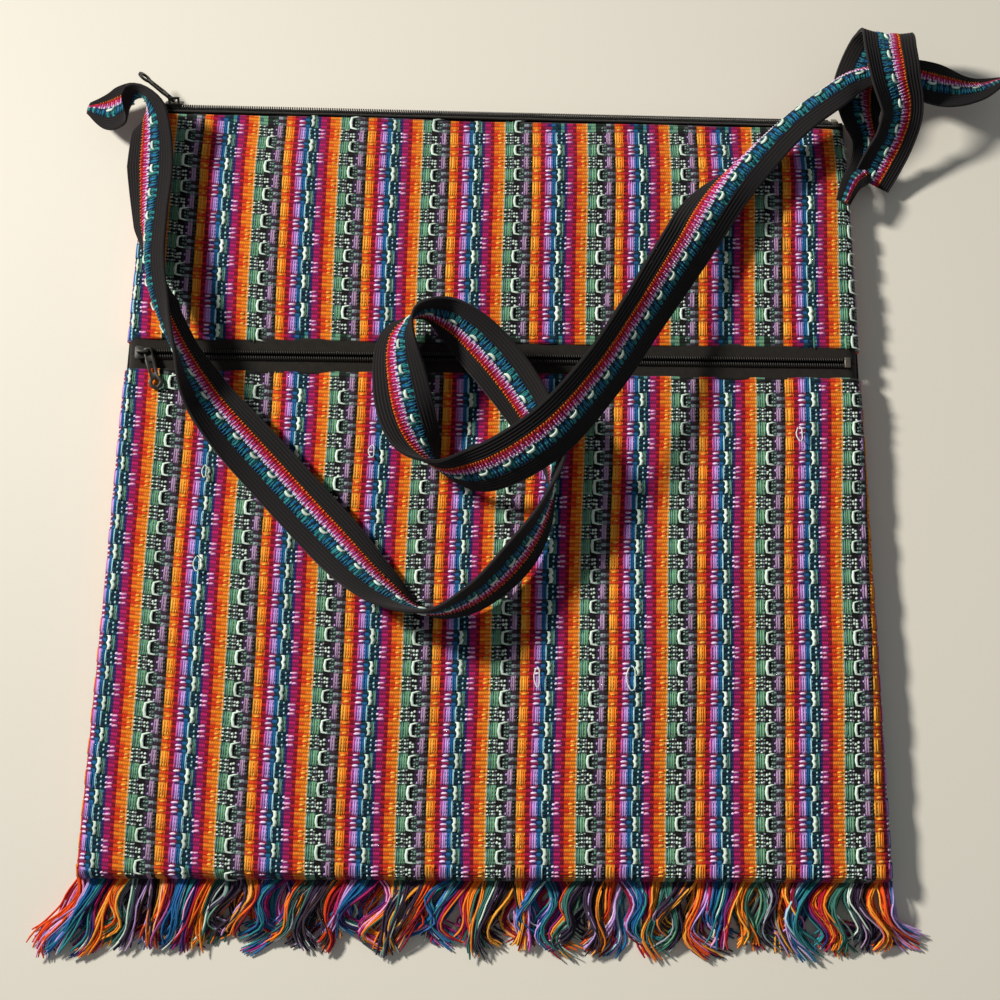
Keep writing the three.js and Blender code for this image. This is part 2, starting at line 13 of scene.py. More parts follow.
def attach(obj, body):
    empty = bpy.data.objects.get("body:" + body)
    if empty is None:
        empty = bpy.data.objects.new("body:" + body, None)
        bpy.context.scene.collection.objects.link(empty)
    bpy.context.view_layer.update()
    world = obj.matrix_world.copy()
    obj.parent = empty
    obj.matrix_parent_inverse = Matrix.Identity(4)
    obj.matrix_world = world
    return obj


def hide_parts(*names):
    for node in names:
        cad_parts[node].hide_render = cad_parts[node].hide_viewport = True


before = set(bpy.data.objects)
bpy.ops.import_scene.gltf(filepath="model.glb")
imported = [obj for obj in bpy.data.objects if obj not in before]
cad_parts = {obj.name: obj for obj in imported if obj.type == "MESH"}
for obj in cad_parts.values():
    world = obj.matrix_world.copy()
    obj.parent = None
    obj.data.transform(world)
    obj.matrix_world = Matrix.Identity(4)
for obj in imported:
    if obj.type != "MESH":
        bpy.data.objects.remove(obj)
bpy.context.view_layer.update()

bl_info = {
    "name": "Striped Woven Bag",
    "version": (1, 0, 0),
    "blender": (4, 5, 0),
    "location": "View3D > Sidebar > Bag",
    "description": "Cloth, zips, straps and fringe of a striped woven crossbody bag",
    "category": "Object",
}

MM = 0.001

# Yarns of the loom, named by their look
YARNS = {
    "peach": "F8B888",
    "amber": "FDAE3E",
    "tangerine": "F98824",
    "ember": "EE5A1C",
    "scarlet": "DE3A18",
    "red": "BC1E2C",
    "crimson": "B41A42",
    "wine": "84142E",
    "raspberry": "BE2268",
    "berry": "96225A",
    "magenta": "982272",
    "pink": "C660AC",
    "rose": "F4A6D2",
    "lilac": "ECD2F4",
    "orchid": "C6A2E2",
    "cobalt": "4A7CC6",
    "steel": "20669E",
    "glass": "AEDCE4",
    "indigo": "2C2E68",
    "violet": "40286A",
    "navy": "12263A",
    "teal": "328A90",
    "deep_teal": "123E48",
    "mint": "DDF0E2",
    "sage": "6A9A88",
    "pine": "3A7066",
    "fern": "74A684",
    "forest": "20382A",
    "ash": "9AA2A8",
    "pewter": "565A5C",
    "mauve": "B294B4",
    "plum": "3C2E44",
    "bark": "33241C",
    "ink": "262528",
    "black": "1A1918",
    "charcoal": "272425",
}

# Stripes of the cloth over one repeat: where the stripe ends, what shows on even and odd picks
# of the first and of the second half of the repeat, and the halves in which its yarns float
CLOTH_DRAFT = (
    (0.060, "amber", "amber", "ember", "tangerine", "A"),
    (0.100, "tangerine", "tangerine", "scarlet", "ember", "A"),
    (0.150, "red", "wine", "crimson", "wine", ""),
    (0.180, "pink", "pink", "magenta", "berry", "A"),
    (0.232, "orchid", "orchid", "violet", "berry", "A"),
    (0.278, "steel", "steel", "steel", "deep_teal", "A"),
    (0.300, "glass", "glass", "navy", "deep_teal", "A"),
    (0.345, "navy", "deep_teal", "deep_teal", "navy", ""),
    (0.385, "deep_teal", "navy", "sage", "teal", "B"),
    (0.420, "indigo", "navy", "indigo", "violet", ""),
    (0.490, "magenta", "berry", "raspberry", "berry", ""),
    (0.535, "wine", "red", "wine", "red", ""),
    (0.590, "ember", "scarlet", "ember", "tangerine", ""),
    (0.645, "tangerine", "ember", "tangerine", "tangerine", ""),
    (0.665, "peach", "amber", "peach", "amber", ""),
    (0.712, "ink", "forest", "sage", "pine", "B"),
    (0.768, "pewter", "ink", "fern", "fern", "B"),
    (0.848, "ink", "black", "ink", "forest", ""),
    (0.895, "plum", "plum", "forest", "pewter", ""),
    (0.950, "mauve", "mauve", "ash", "plum", "A"),
    (1.000, "bark", "black", "pewter", "bark", ""),
)

# Stripes of the strap, in the same order but without floats
STRAP_DRAFT = (
    (0.285, "charcoal", "charcoal", "charcoal", "charcoal"),
    (0.308, "tangerine", "scarlet", "ember", "scarlet"),
    (0.385, "red", "crimson", "red", "wine"),
    (0.445, "crimson", "raspberry", "raspberry", "magenta"),
    (0.490, "lilac", "violet", "orchid", "magenta"),
    (0.530, "sage", "deep_teal", "deep_teal", "navy"),
    (0.640, "teal", "deep_teal", "steel", "navy"),
    (0.700, "teal", "navy", "deep_teal", "navy"),
    (1.000, "charcoal", "charcoal", "charcoal", "charcoal"),
)

# Loose loops on the front: x, y, length, half width and yarn
LOOSE_LOOPS = (
    (63.4, -84.0, 11.0, 2.0, "mint"),
    (21.5, -81.5, 9.0, 1.2, "mint"),
    (-53.5, 16.5, 6.0, 1.3, "mint"),
    (142.0, 25.5, 7.0, 1.3, "mint"),
    (-129.5, 7.0, 6.0, 1.0, "mint"),
    (-131.5, -34.0, 7.0, 1.4, "mint"),
)

# Shoulder strap: x, y, height above the front, roll about the path in degrees, width
SHOULDER_ROUTE = (
    (-193, 183, -5, -5, 6),
    (-181, 180.5, -1, -4, 21),
    (-171, 182, 4, -18, 23),
    (-163, 182, 9, -76, 22),
    (-158.5, 171, 11.5, -138, 25),
    (-158, 149, 10, -158, 26),
    (-158.5, 121, 12, -154, 26),
    (-158, 99, 17, -158, 26),
    (-153.5, 79, 18.5, -148, 26),
    (-142.5, 58, 17, -106, 26),
    (-126.5, 35, 13, -46, 26),
    (-100.5, 6.5, 8, -4, 26),
    (-73, -23, 8, -10, 26),
    (-48, -48, 13, -48, 26),
    (-27.5, -60, 15, -90, 26),
    (-8, -54.5, 14.9, -112, 26),
    (14, -34.5, 14.3, -122, 26),
    (27, -10.5, 15, -100, 26),
    (28.5, 10, 14.4, -65, 26),
    (18.5, 30, 14.5, -40, 26),
    (0, 55, 18, -30, 26),
    (-18, 71, 20.5, -58, 26),
    (-31.5, 74, 20.5, -95, 26),
    (-40.5, 63.5, 19.5, -135, 26),
    (-39.5, 41.5, 16.5, -168, 26),
    (-33, 19, 15, -210, 26),
    (-21.5, 4, 16, -268, 26),
    (-4, 2, 22, -310, 26),
    (24.5, 15.5, 33, -326, 26),
    (48.5, 42, 30, -322, 26),
    (69, 73, 23, -324, 26),
    (91, 107.5, 16.5, -334, 26),
    (112.5, 141.5, 13, -352, 26),
    (136.5, 168.5, 12, -372, 26),
    (157, 184.5, 11.5, -370, 25),
    (171, 192.5, 10.5, -358, 19),
    (184.5, 194, 10, -360, 13),
    (200, 191, 9.5, -360, 19),
    (215, 188, 7.5, -368, 22),
    (231, 189, 3, -380, 15),
    (247, 195.5, -1.5, -395, 5),
)

# Where a folded strap creases across its width, for folds away from the face and towards it
FOLD_PLACES = (0.58, 0.66)

# Stations of the shoulder strap where one side folds away from the face, or towards it below 0
STRAP_CURL = {
    6: -0.45, 7: -1.5, 8: -1.8, 9: -1.0, 10: -0.3,
    31: 0.2, 32: 1.3, 33: 2.4, 34: 2.4, 35: 1.5, 36: 0.5,
}

# Share of the strap's half width over which a fold bends
FOLD_SOFTNESS = 0.4

# How far each strap bulges in its middle, and half of the full width, in millimetres
STRAP_ARCH, TIE_ARCH = 0.5, 1.6
STRAP_HALF = 13

# Relief across a strap in millimetres: between two edge ribs, on them, on the woven middle and
# at the outermost edge
GROOVE, CREST, MIDDLE, RIM = -0.38, 0.1, 0.05, -0.45

# Tie strap: x, y, height above the front, direction of one edge, width
TIE_ROUTE = (
    (166.5, 133, 1.5, (-1, 0.25, 0.05), 7),
    (170.5, 142, 1.6, (-1, 0.25, 0.05), 10),
    (178, 152, -4, (-0.9, 0.35, 0.35), 14),
    (180.5, 166, -4, (-0.95, 0, 0.4), 16),
    (177.5, 179, -2.5, (-1, 0, 0.3), 22),
    (178, 191, -4.5, (-1, 0.2, 0), 25),
    (182, 204, -3.5, (-1, 0.2, 0), 25),
    (185.5, 212.5, 5, (-1, 0.1, 0), 24),
    (186, 210.5, 16.5, (-1, 0.1, 0), 24),
    (185, 199, 23, (-1, -0.15, 0.05), 24),
    (187, 185.5, 22.5, (-0.95, -0.25, 0.1), 24),
    (192, 173, 15, (-0.8, 0.3, 0.5), 22),
    (191, 163, 7, (-0.7, 0.4, 0.6), 22),
    (186.5, 153.5, 0, (-0.7, 0.45, 0.5), 22),
    (182, 145, -5, (-0.75, 0.45, 0.35), 20),
)

# Zips in millimetres: gap between a tape and the zip's line, width of a top tape up to that line,
# length of a sewn end and where it has opened, thickness of a tape, pitch of the coils
TAPE_GAP = 0.9
TOP_TAPE = 3.9
TAPE_SEWN, TAPE_OPEN = 4.0, 5.6
TAPE_THICKNESS = 0.6
COIL_PITCH = 1.08

# Share of the gap that stays open where the tapes are sewn together, and how far a pocket tape
# reaches under the cloth in millimetres
TAPE_TOUCH = 0.04
TAPE_TUCK = 1.5

# Top zip: slope from the front's edge down to the back, and how far out it starts in millimetres
TOP_ZIP_TILT = math.radians(50)
TOP_ZIP_OFFSET = 0.9

# Rounding of the metal parts' edges, in millimetres
METAL_ROUNDING = 0.14

# Height of the front panels' outer edges above the table, in millimetres
PANEL_FOOT = 1.38

# Height along the front at which the stripes' start is measured, in millimetres
STRIPE_LEVEL = 177.2

# Place in the repeat of a dark stripe, painted over the back's whole inside as painted shade
SHADED_INSIDE_STRIPE = 0.81

# Steps across a front panel, rows for each of its weft ribs, and steps of its plain inner face
PANEL_STEPS, RIB_ROWS, INNER_STEPS = 90, 3.5, 40

# Raised yarns: pitch across in millimetres, overlap, share of the repeat that they run along,
# and the thickness of crosswise ones in picks, for up to three in a block and for more
FLOAT_PITCH, FLOAT_OVERLAP, FLOAT_RUN = 1.05, 1.08, 0.53
FEW_THICK, MANY_THICK = 0.8, 0.62

# Unevenness of one raised yarn: place across and along in repeats, size and shade
YARN_JITTER = (0.0022, 0.013, 0.07, 0.12)

# Radius of a loose loop's yarn, in millimetres
LOOP_RADIUS = 0.28

# Table in millimetres: half its side, and its level just below the bag
TABLE_REACH, TABLE_LEVEL = 3000, -0.05

# Lamp, light of the room and camera, in metres
LAMP_PLACE, LAMP_AIM, LAMP_SIZE = (-0.56, 0.30, 0.47), (0.02, 0.0, 0.0), 0.11
LAMP_COLOUR, ROOM_COLOUR = (1.0, 0.965, 0.9), (0.93, 0.97, 1.0, 1.0)
CAMERA_AIM = (0.005, -0.0074, 0.008)


def linear(code):
    """A hex colour as scene-linear red, green and blue."""
    parts = [int(code[i : i + 2], 16) / 255 for i in (0, 2, 4)]
    return [c / 12.92 if c <= 0.04045 else ((c + 0.055) / 1.055) ** 2.4 for c in parts]


# Settings

def length(label, millimetres, text):
    """A length setting, written in millimetres."""
    return FloatProperty(
        name=label, description=text, default=millimetres * MM, unit="LENGTH", precision=4
    )


def number(label, value, text):
    """A plain number setting."""
    return FloatProperty(name=label, description=text, default=value)


def amount(label, value, text):
    """A whole number setting."""
    return IntProperty(name=label, description=text, default=value, min=1)


def degrees(label, value, text):
    """An angle setting, written in degrees."""
    return FloatProperty(
        name=label, description=text, default=math.radians(value), subtype="ANGLE"
    )


def colour(label, code, text):
    """A colour setting, written as a hex code."""
    return FloatVectorProperty(
        name=label, description=text, subtype="COLOR", min=0, max=1, default=linear(code)
    )


class BagSizes(bpy.types.PropertyGroup):
    """Outline and height of the bag as it lies on its back."""

    top_width: length("Top width", 337, "Width along the top zip")
    bottom_width: length("Bottom width", 362, "Width along the bottom seam")
    height: length("Height", 354.8, "Bottom seam to the front's top edge")
    top_shift: length("Top shift", 3.5, "How far the top edge sits to the right")
    bottom_shift: length("Bottom shift", -2, "How far the bottom seam sits to the right")
    top_drop: length("Top drop", 8.5, "How much lower the top edge is at its right end")
    bottom_drop: length("Bottom drop", 2, "How much lower the bottom seam is at its right end")
    front_top: length("Front height", 13.3, "Height of the front above the table")
    crown: length("Crown", 1.5, "Swell in the middle of each front panel")
    top_edge: length("Top edge height", 8.1, "Height of the front along the top zip")
    edge_round: length("Edge rounding", 6.5, "Reach of the rounding at the sides and the bottom")
    cloth: length("Cloth", 1.4, "Thickness of the woven cloth")
    pocket_opening: length("Pocket opening", 14, "Gap between the two front panels")
    pocket_zip_left: length("Pocket zip left", 61, "Place of the pocket zip at its left end")
    pocket_zip_right: length("Pocket zip right", 56, "Place of the pocket zip at its right end")


class WeaveSettings(bpy.types.PropertyGroup):
    """Repeat and relief of the striped cloth."""

    repeat_width: length("Repeat width", 39.47, "Width of one set of stripes")
    repeat_height: length("Repeat height", 13.6, "Length of one pattern block pair")
    stripe_start: length("Stripe start", -136.65, "Where a set of stripes starts along the top")
    stripe_lean: number("Stripe lean", 0.02679, "Sideways lean of the stripes over their height")
    row_start: length("Row start", -107.73, "Where a pattern block pair starts")
    rib_depth: length("Rib depth", 0.34, "Relief of the weft ribs")
    float_height: length("Float height", 0.62, "Thickness of a raised yarn")
    picks: amount("Picks", 8, "Weft ribs in one repeat")
    seed: amount("Seed", 11, "Seed of the uneven handwork")


class StrapSettings(bpy.types.PropertyGroup):
    """The woven strap band."""

    thickness: length("Thickness", 1.6, "Thickness of the band")
    repeat: length("Repeat", 11.7, "Length of one pattern block pair on the band")
    ribs: amount("Edge ribs", 5, "Lengthwise ribs in each dark edge")


class FringeSettings(bpy.types.PropertyGroup):
    """Loose warp ends along the bottom seam."""

    strand: length("Strand", 0.84, "Thickness of one yarn end")
    reach: length("Reach", 33, "Length of the yarn ends")
    bunches: amount("Bunches", 54, "Gathered bunches along the seam")
    strands: amount("Strands", 30, "Yarn ends in one bunch")
    seed: amount("Seed", 5, "Seed of the tangle")


class StageSettings(bpy.types.PropertyGroup):
    """Table, light and camera."""

    table: colour("Table", "F1ECDF", "Colour of the table")
    key: number("Key light", 12.0, "Strength of the lamp at the upper left")
    fill: number("Fill light", 0.17, "Strength of the light from all round")
    field: degrees("Field of view", 46, "Camera's angle of view")
    tilt: degrees("Tilt", 8, "Camera's lean from straight down")
    distance: length("Distance", 541.85, "Camera to the point it looks at")


class YarnColours(bpy.types.PropertyGroup):
    """Colours of the yarns."""

    __annotations__ = {
        name: colour(name.replace("_", " ").title(), code, "Colour of this yarn")
        for name, code in YARNS.items()
    }


class BagLooks(bpy.types.PropertyGroup):
    """All settings of the bag."""

    sizes: PointerProperty(type=BagSizes)
    weave: PointerProperty(type=WeaveSettings)
    strap: PointerProperty(type=StrapSettings)
    fringe: PointerProperty(type=FringeSettings)
    stage: PointerProperty(type=StageSettings)
    yarns: PointerProperty(type=YarnColours)


def yarn(looks, name):
    """One yarn's colour as red, green, blue and alpha."""
    return (*getattr(looks.yarns, name), 1.0)


# Node trees

class Term:
    """A node socket that takes part in Python arithmetic; each operator adds a Math node."""

    def __init__(self, tree, socket=None):
        self.tree = tree
        self.socket = socket

    def make(self, kind, settings=None, inputs=None, out=0):
        """Adds any node: its settings first, then the values or links of its sockets."""
        node = self.tree.nodes.new(kind)
        for key, value in (settings or {}).items():
            if key == "stops":
                fill_ramp(node.color_ramp, value)
            else:
                setattr(node, key, value)
        for key, value in (inputs or {}).items():
            if isinstance(value, (list, Term)):
                for term in value if isinstance(value, list) else [value]:
                    self.tree.links.new(term.socket, node.inputs[key])
            else:
                node.inputs[key].default_value = value
        if isinstance(out, tuple):
            return [Term(self.tree, node.outputs[key]) for key in out]
        return Term(self.tree, node.outputs[out])

    def math(self, operation, first, second=0.0):
        return self.make("ShaderNodeMath", {"operation": operation}, {0: first, 1: second})

    def __add__(self, other):
        return self.math("ADD", self, other)

    def __radd__(self, other):
        return self.math("ADD", other, self)

    def __sub__(self, other):
        return self.math("SUBTRACT", self, other)

    def __rsub__(self, other):
        return self.math("SUBTRACT", other, self)

    def __mul__(self, other):
        return self.math("MULTIPLY", self, other)

    def __rmul__(self, other):
        return self.math("MULTIPLY", other, self)

    def __gt__(self, other):
        return self.math("GREATER_THAN", self, other)

    def __mod__(self, other):
        return self.math("FLOORED_MODULO", self, other)

    def fract(self):
        return self.math("FRACT", self)

    def floor(self):
        return self.math("FLOOR", self)

    def sin(self):
        return self.math("SINE", self)

    def blend(self, first, second):
        """Mixes two colours by this value."""
        inputs = {0: self, 6: first, 7: second}
        return self.make("ShaderNodeMix", {"data_type": "RGBA"}, inputs, 2)

    def scaled(self, factors):
        """This vector, each part multiplied."""
        return self.make("ShaderNodeVectorMath", {"operation": "MULTIPLY"}, {0: self, 1: factors})

    def noise(self, scale, detail=2.0):
        return self.make("ShaderNodeTexNoise", None, {"Vector": self, "Scale": scale, "Detail": detail})


def fill_ramp(ramp, stops):
    """Sets a ramp's hard-edged stops from (place, colour) pairs."""
    ramp.interpolation = "CONSTANT"
    while len(ramp.elements) < len(stops):
        ramp.elements.new(1.0)
    for element, (place, tone) in zip(ramp.elements, stops):
        element.position = place
        element.color = tone


class Finish:
    """A material with its shader and a starting point for its nodes."""

    def __init__(self, name, values):
        self.material = bpy.data.materials.new(name)
        self.material.use_nodes = True
        tree = self.material.node_tree
        self.shader = tree.nodes["Principled BSDF"]
        for key, value in values.items():
            self.shader.inputs[key].default_value = value
        self.start = Term(tree)

    def place(self):
        return self.start.make("ShaderNodeTexCoord", None, None, "Object")

    def uv(self):
        return self.start.make("ShaderNodeUVMap", {"uv_map": "weave"})

    def feed(self, key, term):
        self.start.tree.links.new(term.socket, self.shader.inputs[key])

    def paint(self, tone, shade):
        """Base colour: a tone made lighter or darker by a shade."""
        settings = {"data_type": "RGBA", "blend_type": "MULTIPLY"}
        inputs = {0: 1.0, 6: tone, 7: shade}
        self.feed("Base Color", self.start.make("ShaderNodeMix", settings, inputs, 2))

    def bump(self, height, strength, distance):
        inputs = {"Height": height, "Strength": strength, "Distance": distance}
        self.feed("Normal", self.start.make("ShaderNodeBump", None, inputs))


CLOTH_LIKE = {
    "Roughness": 0.95,
    "Specular IOR Level": 0.15,
    "Sheen Weight": 0.08,
    "Sheen Roughness": 0.5,
}


def parts_of(term):
    """The three parts of a vector."""
    return term.make("ShaderNodeSeparateXYZ", None, {0: term}, (0, 1, 2))


def draft_ramp(start, looks, draft, column, across):
    """The colour across the stripes on one kind of pick."""
    ends = [0.0] + [row[0] for row in draft[:-1]]
    stops = [(end, yarn(looks, row[column])) for end, row in zip(ends, draft)]
    return start.make("ShaderNodeValToRGB", {"stops": stops}, {0: across})


def woven_finish(name, looks, draft, ragged, stitches, edge_ribs=0):
    """Striped cloth in two pattern blocks; the UV map counts repeats across and along.

    A band's dark edges have ribs that run along it instead of across. The valleys of the ribs and the
    gaps between yarns are painted darker, as painted shade.
    """
    finish = Finish(name, CLOTH_LIKE)
    start = finish.start
    uv = finish.uv()
    across, along, _ = parts_of(uv)
    rough = finish.place().noise(750.0)
    picks = along * float(looks.weave.picks) + (rough - 0.5) * 0.3
    odd = picks.floor() % 2.0
    ribs = (picks.fract() * math.pi).sin()
    yarns = ((across * stitches + odd * 0.5).fract() * math.pi).sin()
    relief = ribs * (0.55 + yarns * 0.45)
    stripe = (across + (rough - 0.5) * ragged).fract()
    if edge_ribs:
        inside = (stripe > draft[0][0]) * (draft[-2][0] - stripe > 0.0)
        length_ribs = ((across * edge_ribs).fract() * math.pi).sin() * (0.8 + ribs * 0.2)
        relief = length_ribs + (relief - length_ribs) * inside
    first = odd.blend(*[draft_ramp(start, looks, draft, k, stripe) for k in (1, 2)])
    second = odd.blend(*[draft_ramp(start, looks, draft, k, stripe) for k in (3, 4)])
    tone = (along.fract() > 0.5).blend(first, second)
    fibre = uv.scaled((150.0, 14.0, 1.0)).noise(1.0, 3.0)
    # Painted shade: the base colour darkens in the rib valleys and between yarns; the fibre noise is an
    # uneven tone
    shade = (0.48 + relief * 0.7) * (0.7 + fibre * 0.62)
    finish.paint(tone, shade)
    finish.bump(relief * 0.7 + fibre * 0.5, 0.6, 0.0004)
    return finish.material


def yarn_finish(name):
    """Twisted yarn that takes its colour from the tint attribute."""
    finish = Finish(name, CLOTH_LIKE)
    tint = finish.start.make("ShaderNodeAttribute", {"attribute_name": "tint"})
    fibre = finish.place().noise(1900.0, 3.0)
    finish.paint(tint, 0.6 + fibre * 0.8)
    finish.bump(fibre, 0.45, 0.0003)
    return finish.material


def tape_finish(name, code, scale):
    """Dark narrow fabric with a fine slanting weave, whose dips are painted darker as painted shade."""
    finish = Finish(name, CLOTH_LIKE)
    x, y, _ = parts_of(finish.uv())
    weave = ((x + y * 0.8) * scale).sin() * ((x * 0.35 - y) * scale).sin()
    dust = finish.place().noise(420.0, 4.0)
    # Painted shade: the colour darkens where the weave dips; the dust noise is an uneven tone
    finish.paint((*linear(code), 1.0), 0.55 + weave * 0.22 + dust * 0.7)
    finish.bump(weave * 0.5 + dust * 0.4, 0.6, 0.0002)
    return finish.material


def plain_finish(name, code, values, grain):
    """A solid finish with slight unevenness in tone, gloss and surface."""
    finish = Finish(name, values)
    patches = finish.place().noise(grain, 4.0)
    finish.paint((*linear(code), 1.0), 0.7 + patches * 0.6)
    finish.feed("Roughness", values["Roughness"] - 0.12 + patches * 0.24)
    finish.bump(patches, 0.35, 0.0001)
    return finish.material


# Meshes

def new_mesh(name, points, faces, uv=None):
    """A smooth mesh from points in millimetres, with the weave's coordinates where given."""
    mesh = bpy.data.meshes.new(name)
    mesh.from_pydata((np.asarray(points) * MM).tolist(), [], faces)
    if uv is not None:
        set_uv(mesh, uv)
    mesh.shade_smooth()
    return mesh


def set_uv(mesh, uv):
    """Writes the weave's coordinates, given for each point."""
    corners = np.empty(len(mesh.loops), int)
    mesh.loops.foreach_get("vertex_index", corners)
    layer = mesh.uv_layers.new(name="weave")
    layer.data.foreach_set("uv", np.asarray(uv, float)[corners].ravel())


@contextmanager
def opened(mesh):
    """A mesh open for changes, which are written back at the end."""
    work = bmesh.new()
    work.from_mesh(mesh)
    yield work
    work.to_mesh(mesh)
    work.free()


def add_piece(name, mesh, material, body, nodes=()):
    """Puts a finished mesh in the scene, on its body and in its material slot."""
    mesh.materials.clear()
    mesh.materials.append(material)
    piece = bpy.data.objects.new(name, mesh)
    bpy.context.scene.collection.objects.link(piece)
    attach(piece, body)
    if nodes:
        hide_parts(*nodes)
    return piece


def grid_faces(columns, rows, first=0, flip=False):
    """Quads of a grid of points that runs columns first, seen from its upper side."""
    index = first + np.arange(columns * rows).reshape(columns, rows)
    corners = (index[:-1, :-1], index[1:, :-1], index[1:, 1:], index[:-1, 1:])
    quads = np.stack(corners, -1).reshape(-1, 4)
    return (quads[:, ::-1] if flip else quads).tolist()


def rim_of(columns, rows, us, vs, first=0):
    """Border of a grid, counterclockwise, with its place along the border from 0 to 4."""
    index = first + np.arange(columns * rows).reshape(columns, rows)
    loop = [*index[:-1, 0], *index[-1, :-1], *index[:0:-1, -1], *index[0, :0:-1]]
    place = [*us[:-1], *(1 + vs[:-1]), *(2 + 1 - us[:0:-1]), *(3 + 1 - vs[:0:-1])]
    return [int(i) for i in loop], [float(p) for p in place]


def closed_sheet(outer, us, vs, inner, inner_us, inner_vs):
    """Points and faces of a thin sheet: a fine outer face, a coarse inner one and a rim."""
    count = len(us) * len(vs)
    faces = grid_faces(len(us), len(vs))
    faces += grid_faces(len(inner_us), len(inner_vs), count, True)
    loop, place = rim_of(len(us), len(vs), us, vs)
    other, other_place = rim_of(len(inner_us), len(inner_vs), inner_us, inner_vs, count)
    place, other_place = place + [4.0], other_place + [4.0]
    i = j = 0
    while i < len(loop) or j < len(other):
        a, b = loop[i % len(loop)], other[j % len(other)]
        if j == len(other) or (i < len(loop) and place[i + 1] <= other_place[j + 1]):
            faces.append([loop[(i + 1) % len(loop)], a, b])
            i += 1
        else:
            faces.append([a, b, other[(j + 1) % len(other)]])
            j += 1
    return np.concatenate((outer.reshape(-1, 3), inner.reshape(-1, 3))), faces


def tube(path, wide, high, sides):
    """Points and faces of a tube with pointed ends, from its half width and height at each point."""
    path = np.asarray(path, float)
    along = np.gradient(path, axis=0)
    along /= np.linalg.norm(along, axis=1)[:, None]
    up = np.array([0.0, 0.0, 1.0]) + 1e-3 * along[:, [1, 2, 0]]
    side = np.cross(along, up)
    side /= np.linalg.norm(side, axis=1)[:, None]
    over = np.cross(side, along)
    angles = 2 * np.pi * np.arange(sides) / sides + np.pi / 2
    ring = (
        side[:, None] * (np.cos(angles)[:, None] * np.asarray(wide)[:, None, None])
        + over[:, None] * (np.sin(angles)[:, None] * np.asarray(high)[:, None, None])
    )
    rings = (path[:, None] + ring)[1:-1].reshape(-1, 3)
    points = np.concatenate((rings, path[[0, -1]]))
    start, end, last = len(rings), len(rings) + 1, len(rings) - sides
    faces = []
    for k in range(sides):
        ahead = (k + 1) % sides
        faces.append([start, k, ahead])
        for i in range(0, last, sides):
            faces.append([i + k, i + k + sides, i + ahead + sides, i + ahead])
        faces.append([last + k, end, last + ahead])
    return points, faces


def joined_tubes(tubes):
    """Several tubes as one set of points and faces."""
    points, faces, first = [], [], 0
    for some, loops in tubes:
        points.append(some)
        faces += [[first + k for k in loop] for loop in loops]
        first += len(some)
    return np.concatenate(points), faces


# Geometry Nodes

def open_group(name, inputs):
    """A new geometry tree with named inputs, as terms."""
    tree = bpy.data.node_groups.new(name, "GeometryNodeTree")
    tree.interface.new_socket("Geometry", in_out="INPUT", socket_type="NodeSocketGeometry")
    for label, kind in inputs.items():
        tree.interface.new_socket(label, in_out="INPUT", socket_type="NodeSocket" + kind)
    tree.interface.new_socket("Geometry", in_out="OUTPUT", socket_type="NodeSocketGeometry")
    entry = tree.nodes.new("NodeGroupInput")
    return tree, {socket.name: Term(tree, socket) for socket in entry.outputs if socket.name}


def close_group(tree, geometry, finish):
    """Makes instances real, sets the material and closes the tree."""
    real = geometry.make("GeometryNodeRealizeInstances", None, {0: geometry})
    painted = real.make("GeometryNodeSetMaterial", None, {"Geometry": real, "Material": finish})
    tree.links.new(painted.socket, tree.nodes.new("NodeGroupOutput").inputs[0])
    return tree


def grown(mesh, tree, values):
    """Runs a geometry tree on a mesh and hands back the plain result."""
    carrier = bpy.data.objects.new("carrier", mesh)
    bpy.context.scene.collection.objects.link(carrier)
    modifier = carrier.modifiers.new("growth", "NODES")
    modifier.node_group = tree
    for item in tree.interface.items_tree:
        if item.in_out == "INPUT" and item.name in values:
            modifier[item.identifier] = values[item.name]
    graph = bpy.context.evaluated_depsgraph_get()
    result = bpy.data.meshes.new_from_object(
        carrier.evaluated_get(graph), preserve_all_data_layers=True, depsgraph=graph
    )
    carrier.modifiers.remove(modifier)
    bpy.data.objects.remove(carrier)
    for name in ("turn", "size", "kind", "thick"):
        if name in result.attributes:
            result.attributes.remove(result.attributes[name])
    result.shade_smooth()
    return result


def carry(mesh, name, kind, key, values):
    """Stores a value for each point of a mesh."""
    layer = mesh.attributes.new(name, kind, "POINT")
    layer.data.foreach_set(key, np.asarray(values).ravel())


def seeds_mesh(places, turns, sizes, kinds, tints):
    """Points that carry the turn, size, kind and tint of what is set on them."""
    mesh = bpy.data.meshes.new("seeds")
    mesh.from_pydata((np.asarray(places) * MM).tolist(), [], [])
    carry(mesh, "turn", "QUATERNION", "value", turns)
    carry(mesh, "size", "FLOAT_VECTOR", "vector", sizes)
    carry(mesh, "kind", "INT", "value", kinds)
    carry(mesh, "tint", "FLOAT_COLOR", "color", tints)
    return mesh


def paths_mesh(points, edges, tints, thicks):
    """Edge paths in millimetres that carry a thickness and a tint."""
    mesh = bpy.data.meshes.new("paths")
    mesh.from_pydata((np.array(points) * MM).tolist(), edges, [])
    carry(mesh, "tint", "FLOAT_COLOR", "color", tints)
    carry(mesh, "thick", "FLOAT", "value", thicks)
    return mesh


SHAPES = ("Yarn", "Dash", "Bracket", "Hook")
YARN, DASH, BRACKET, HOOK = range(len(SHAPES))


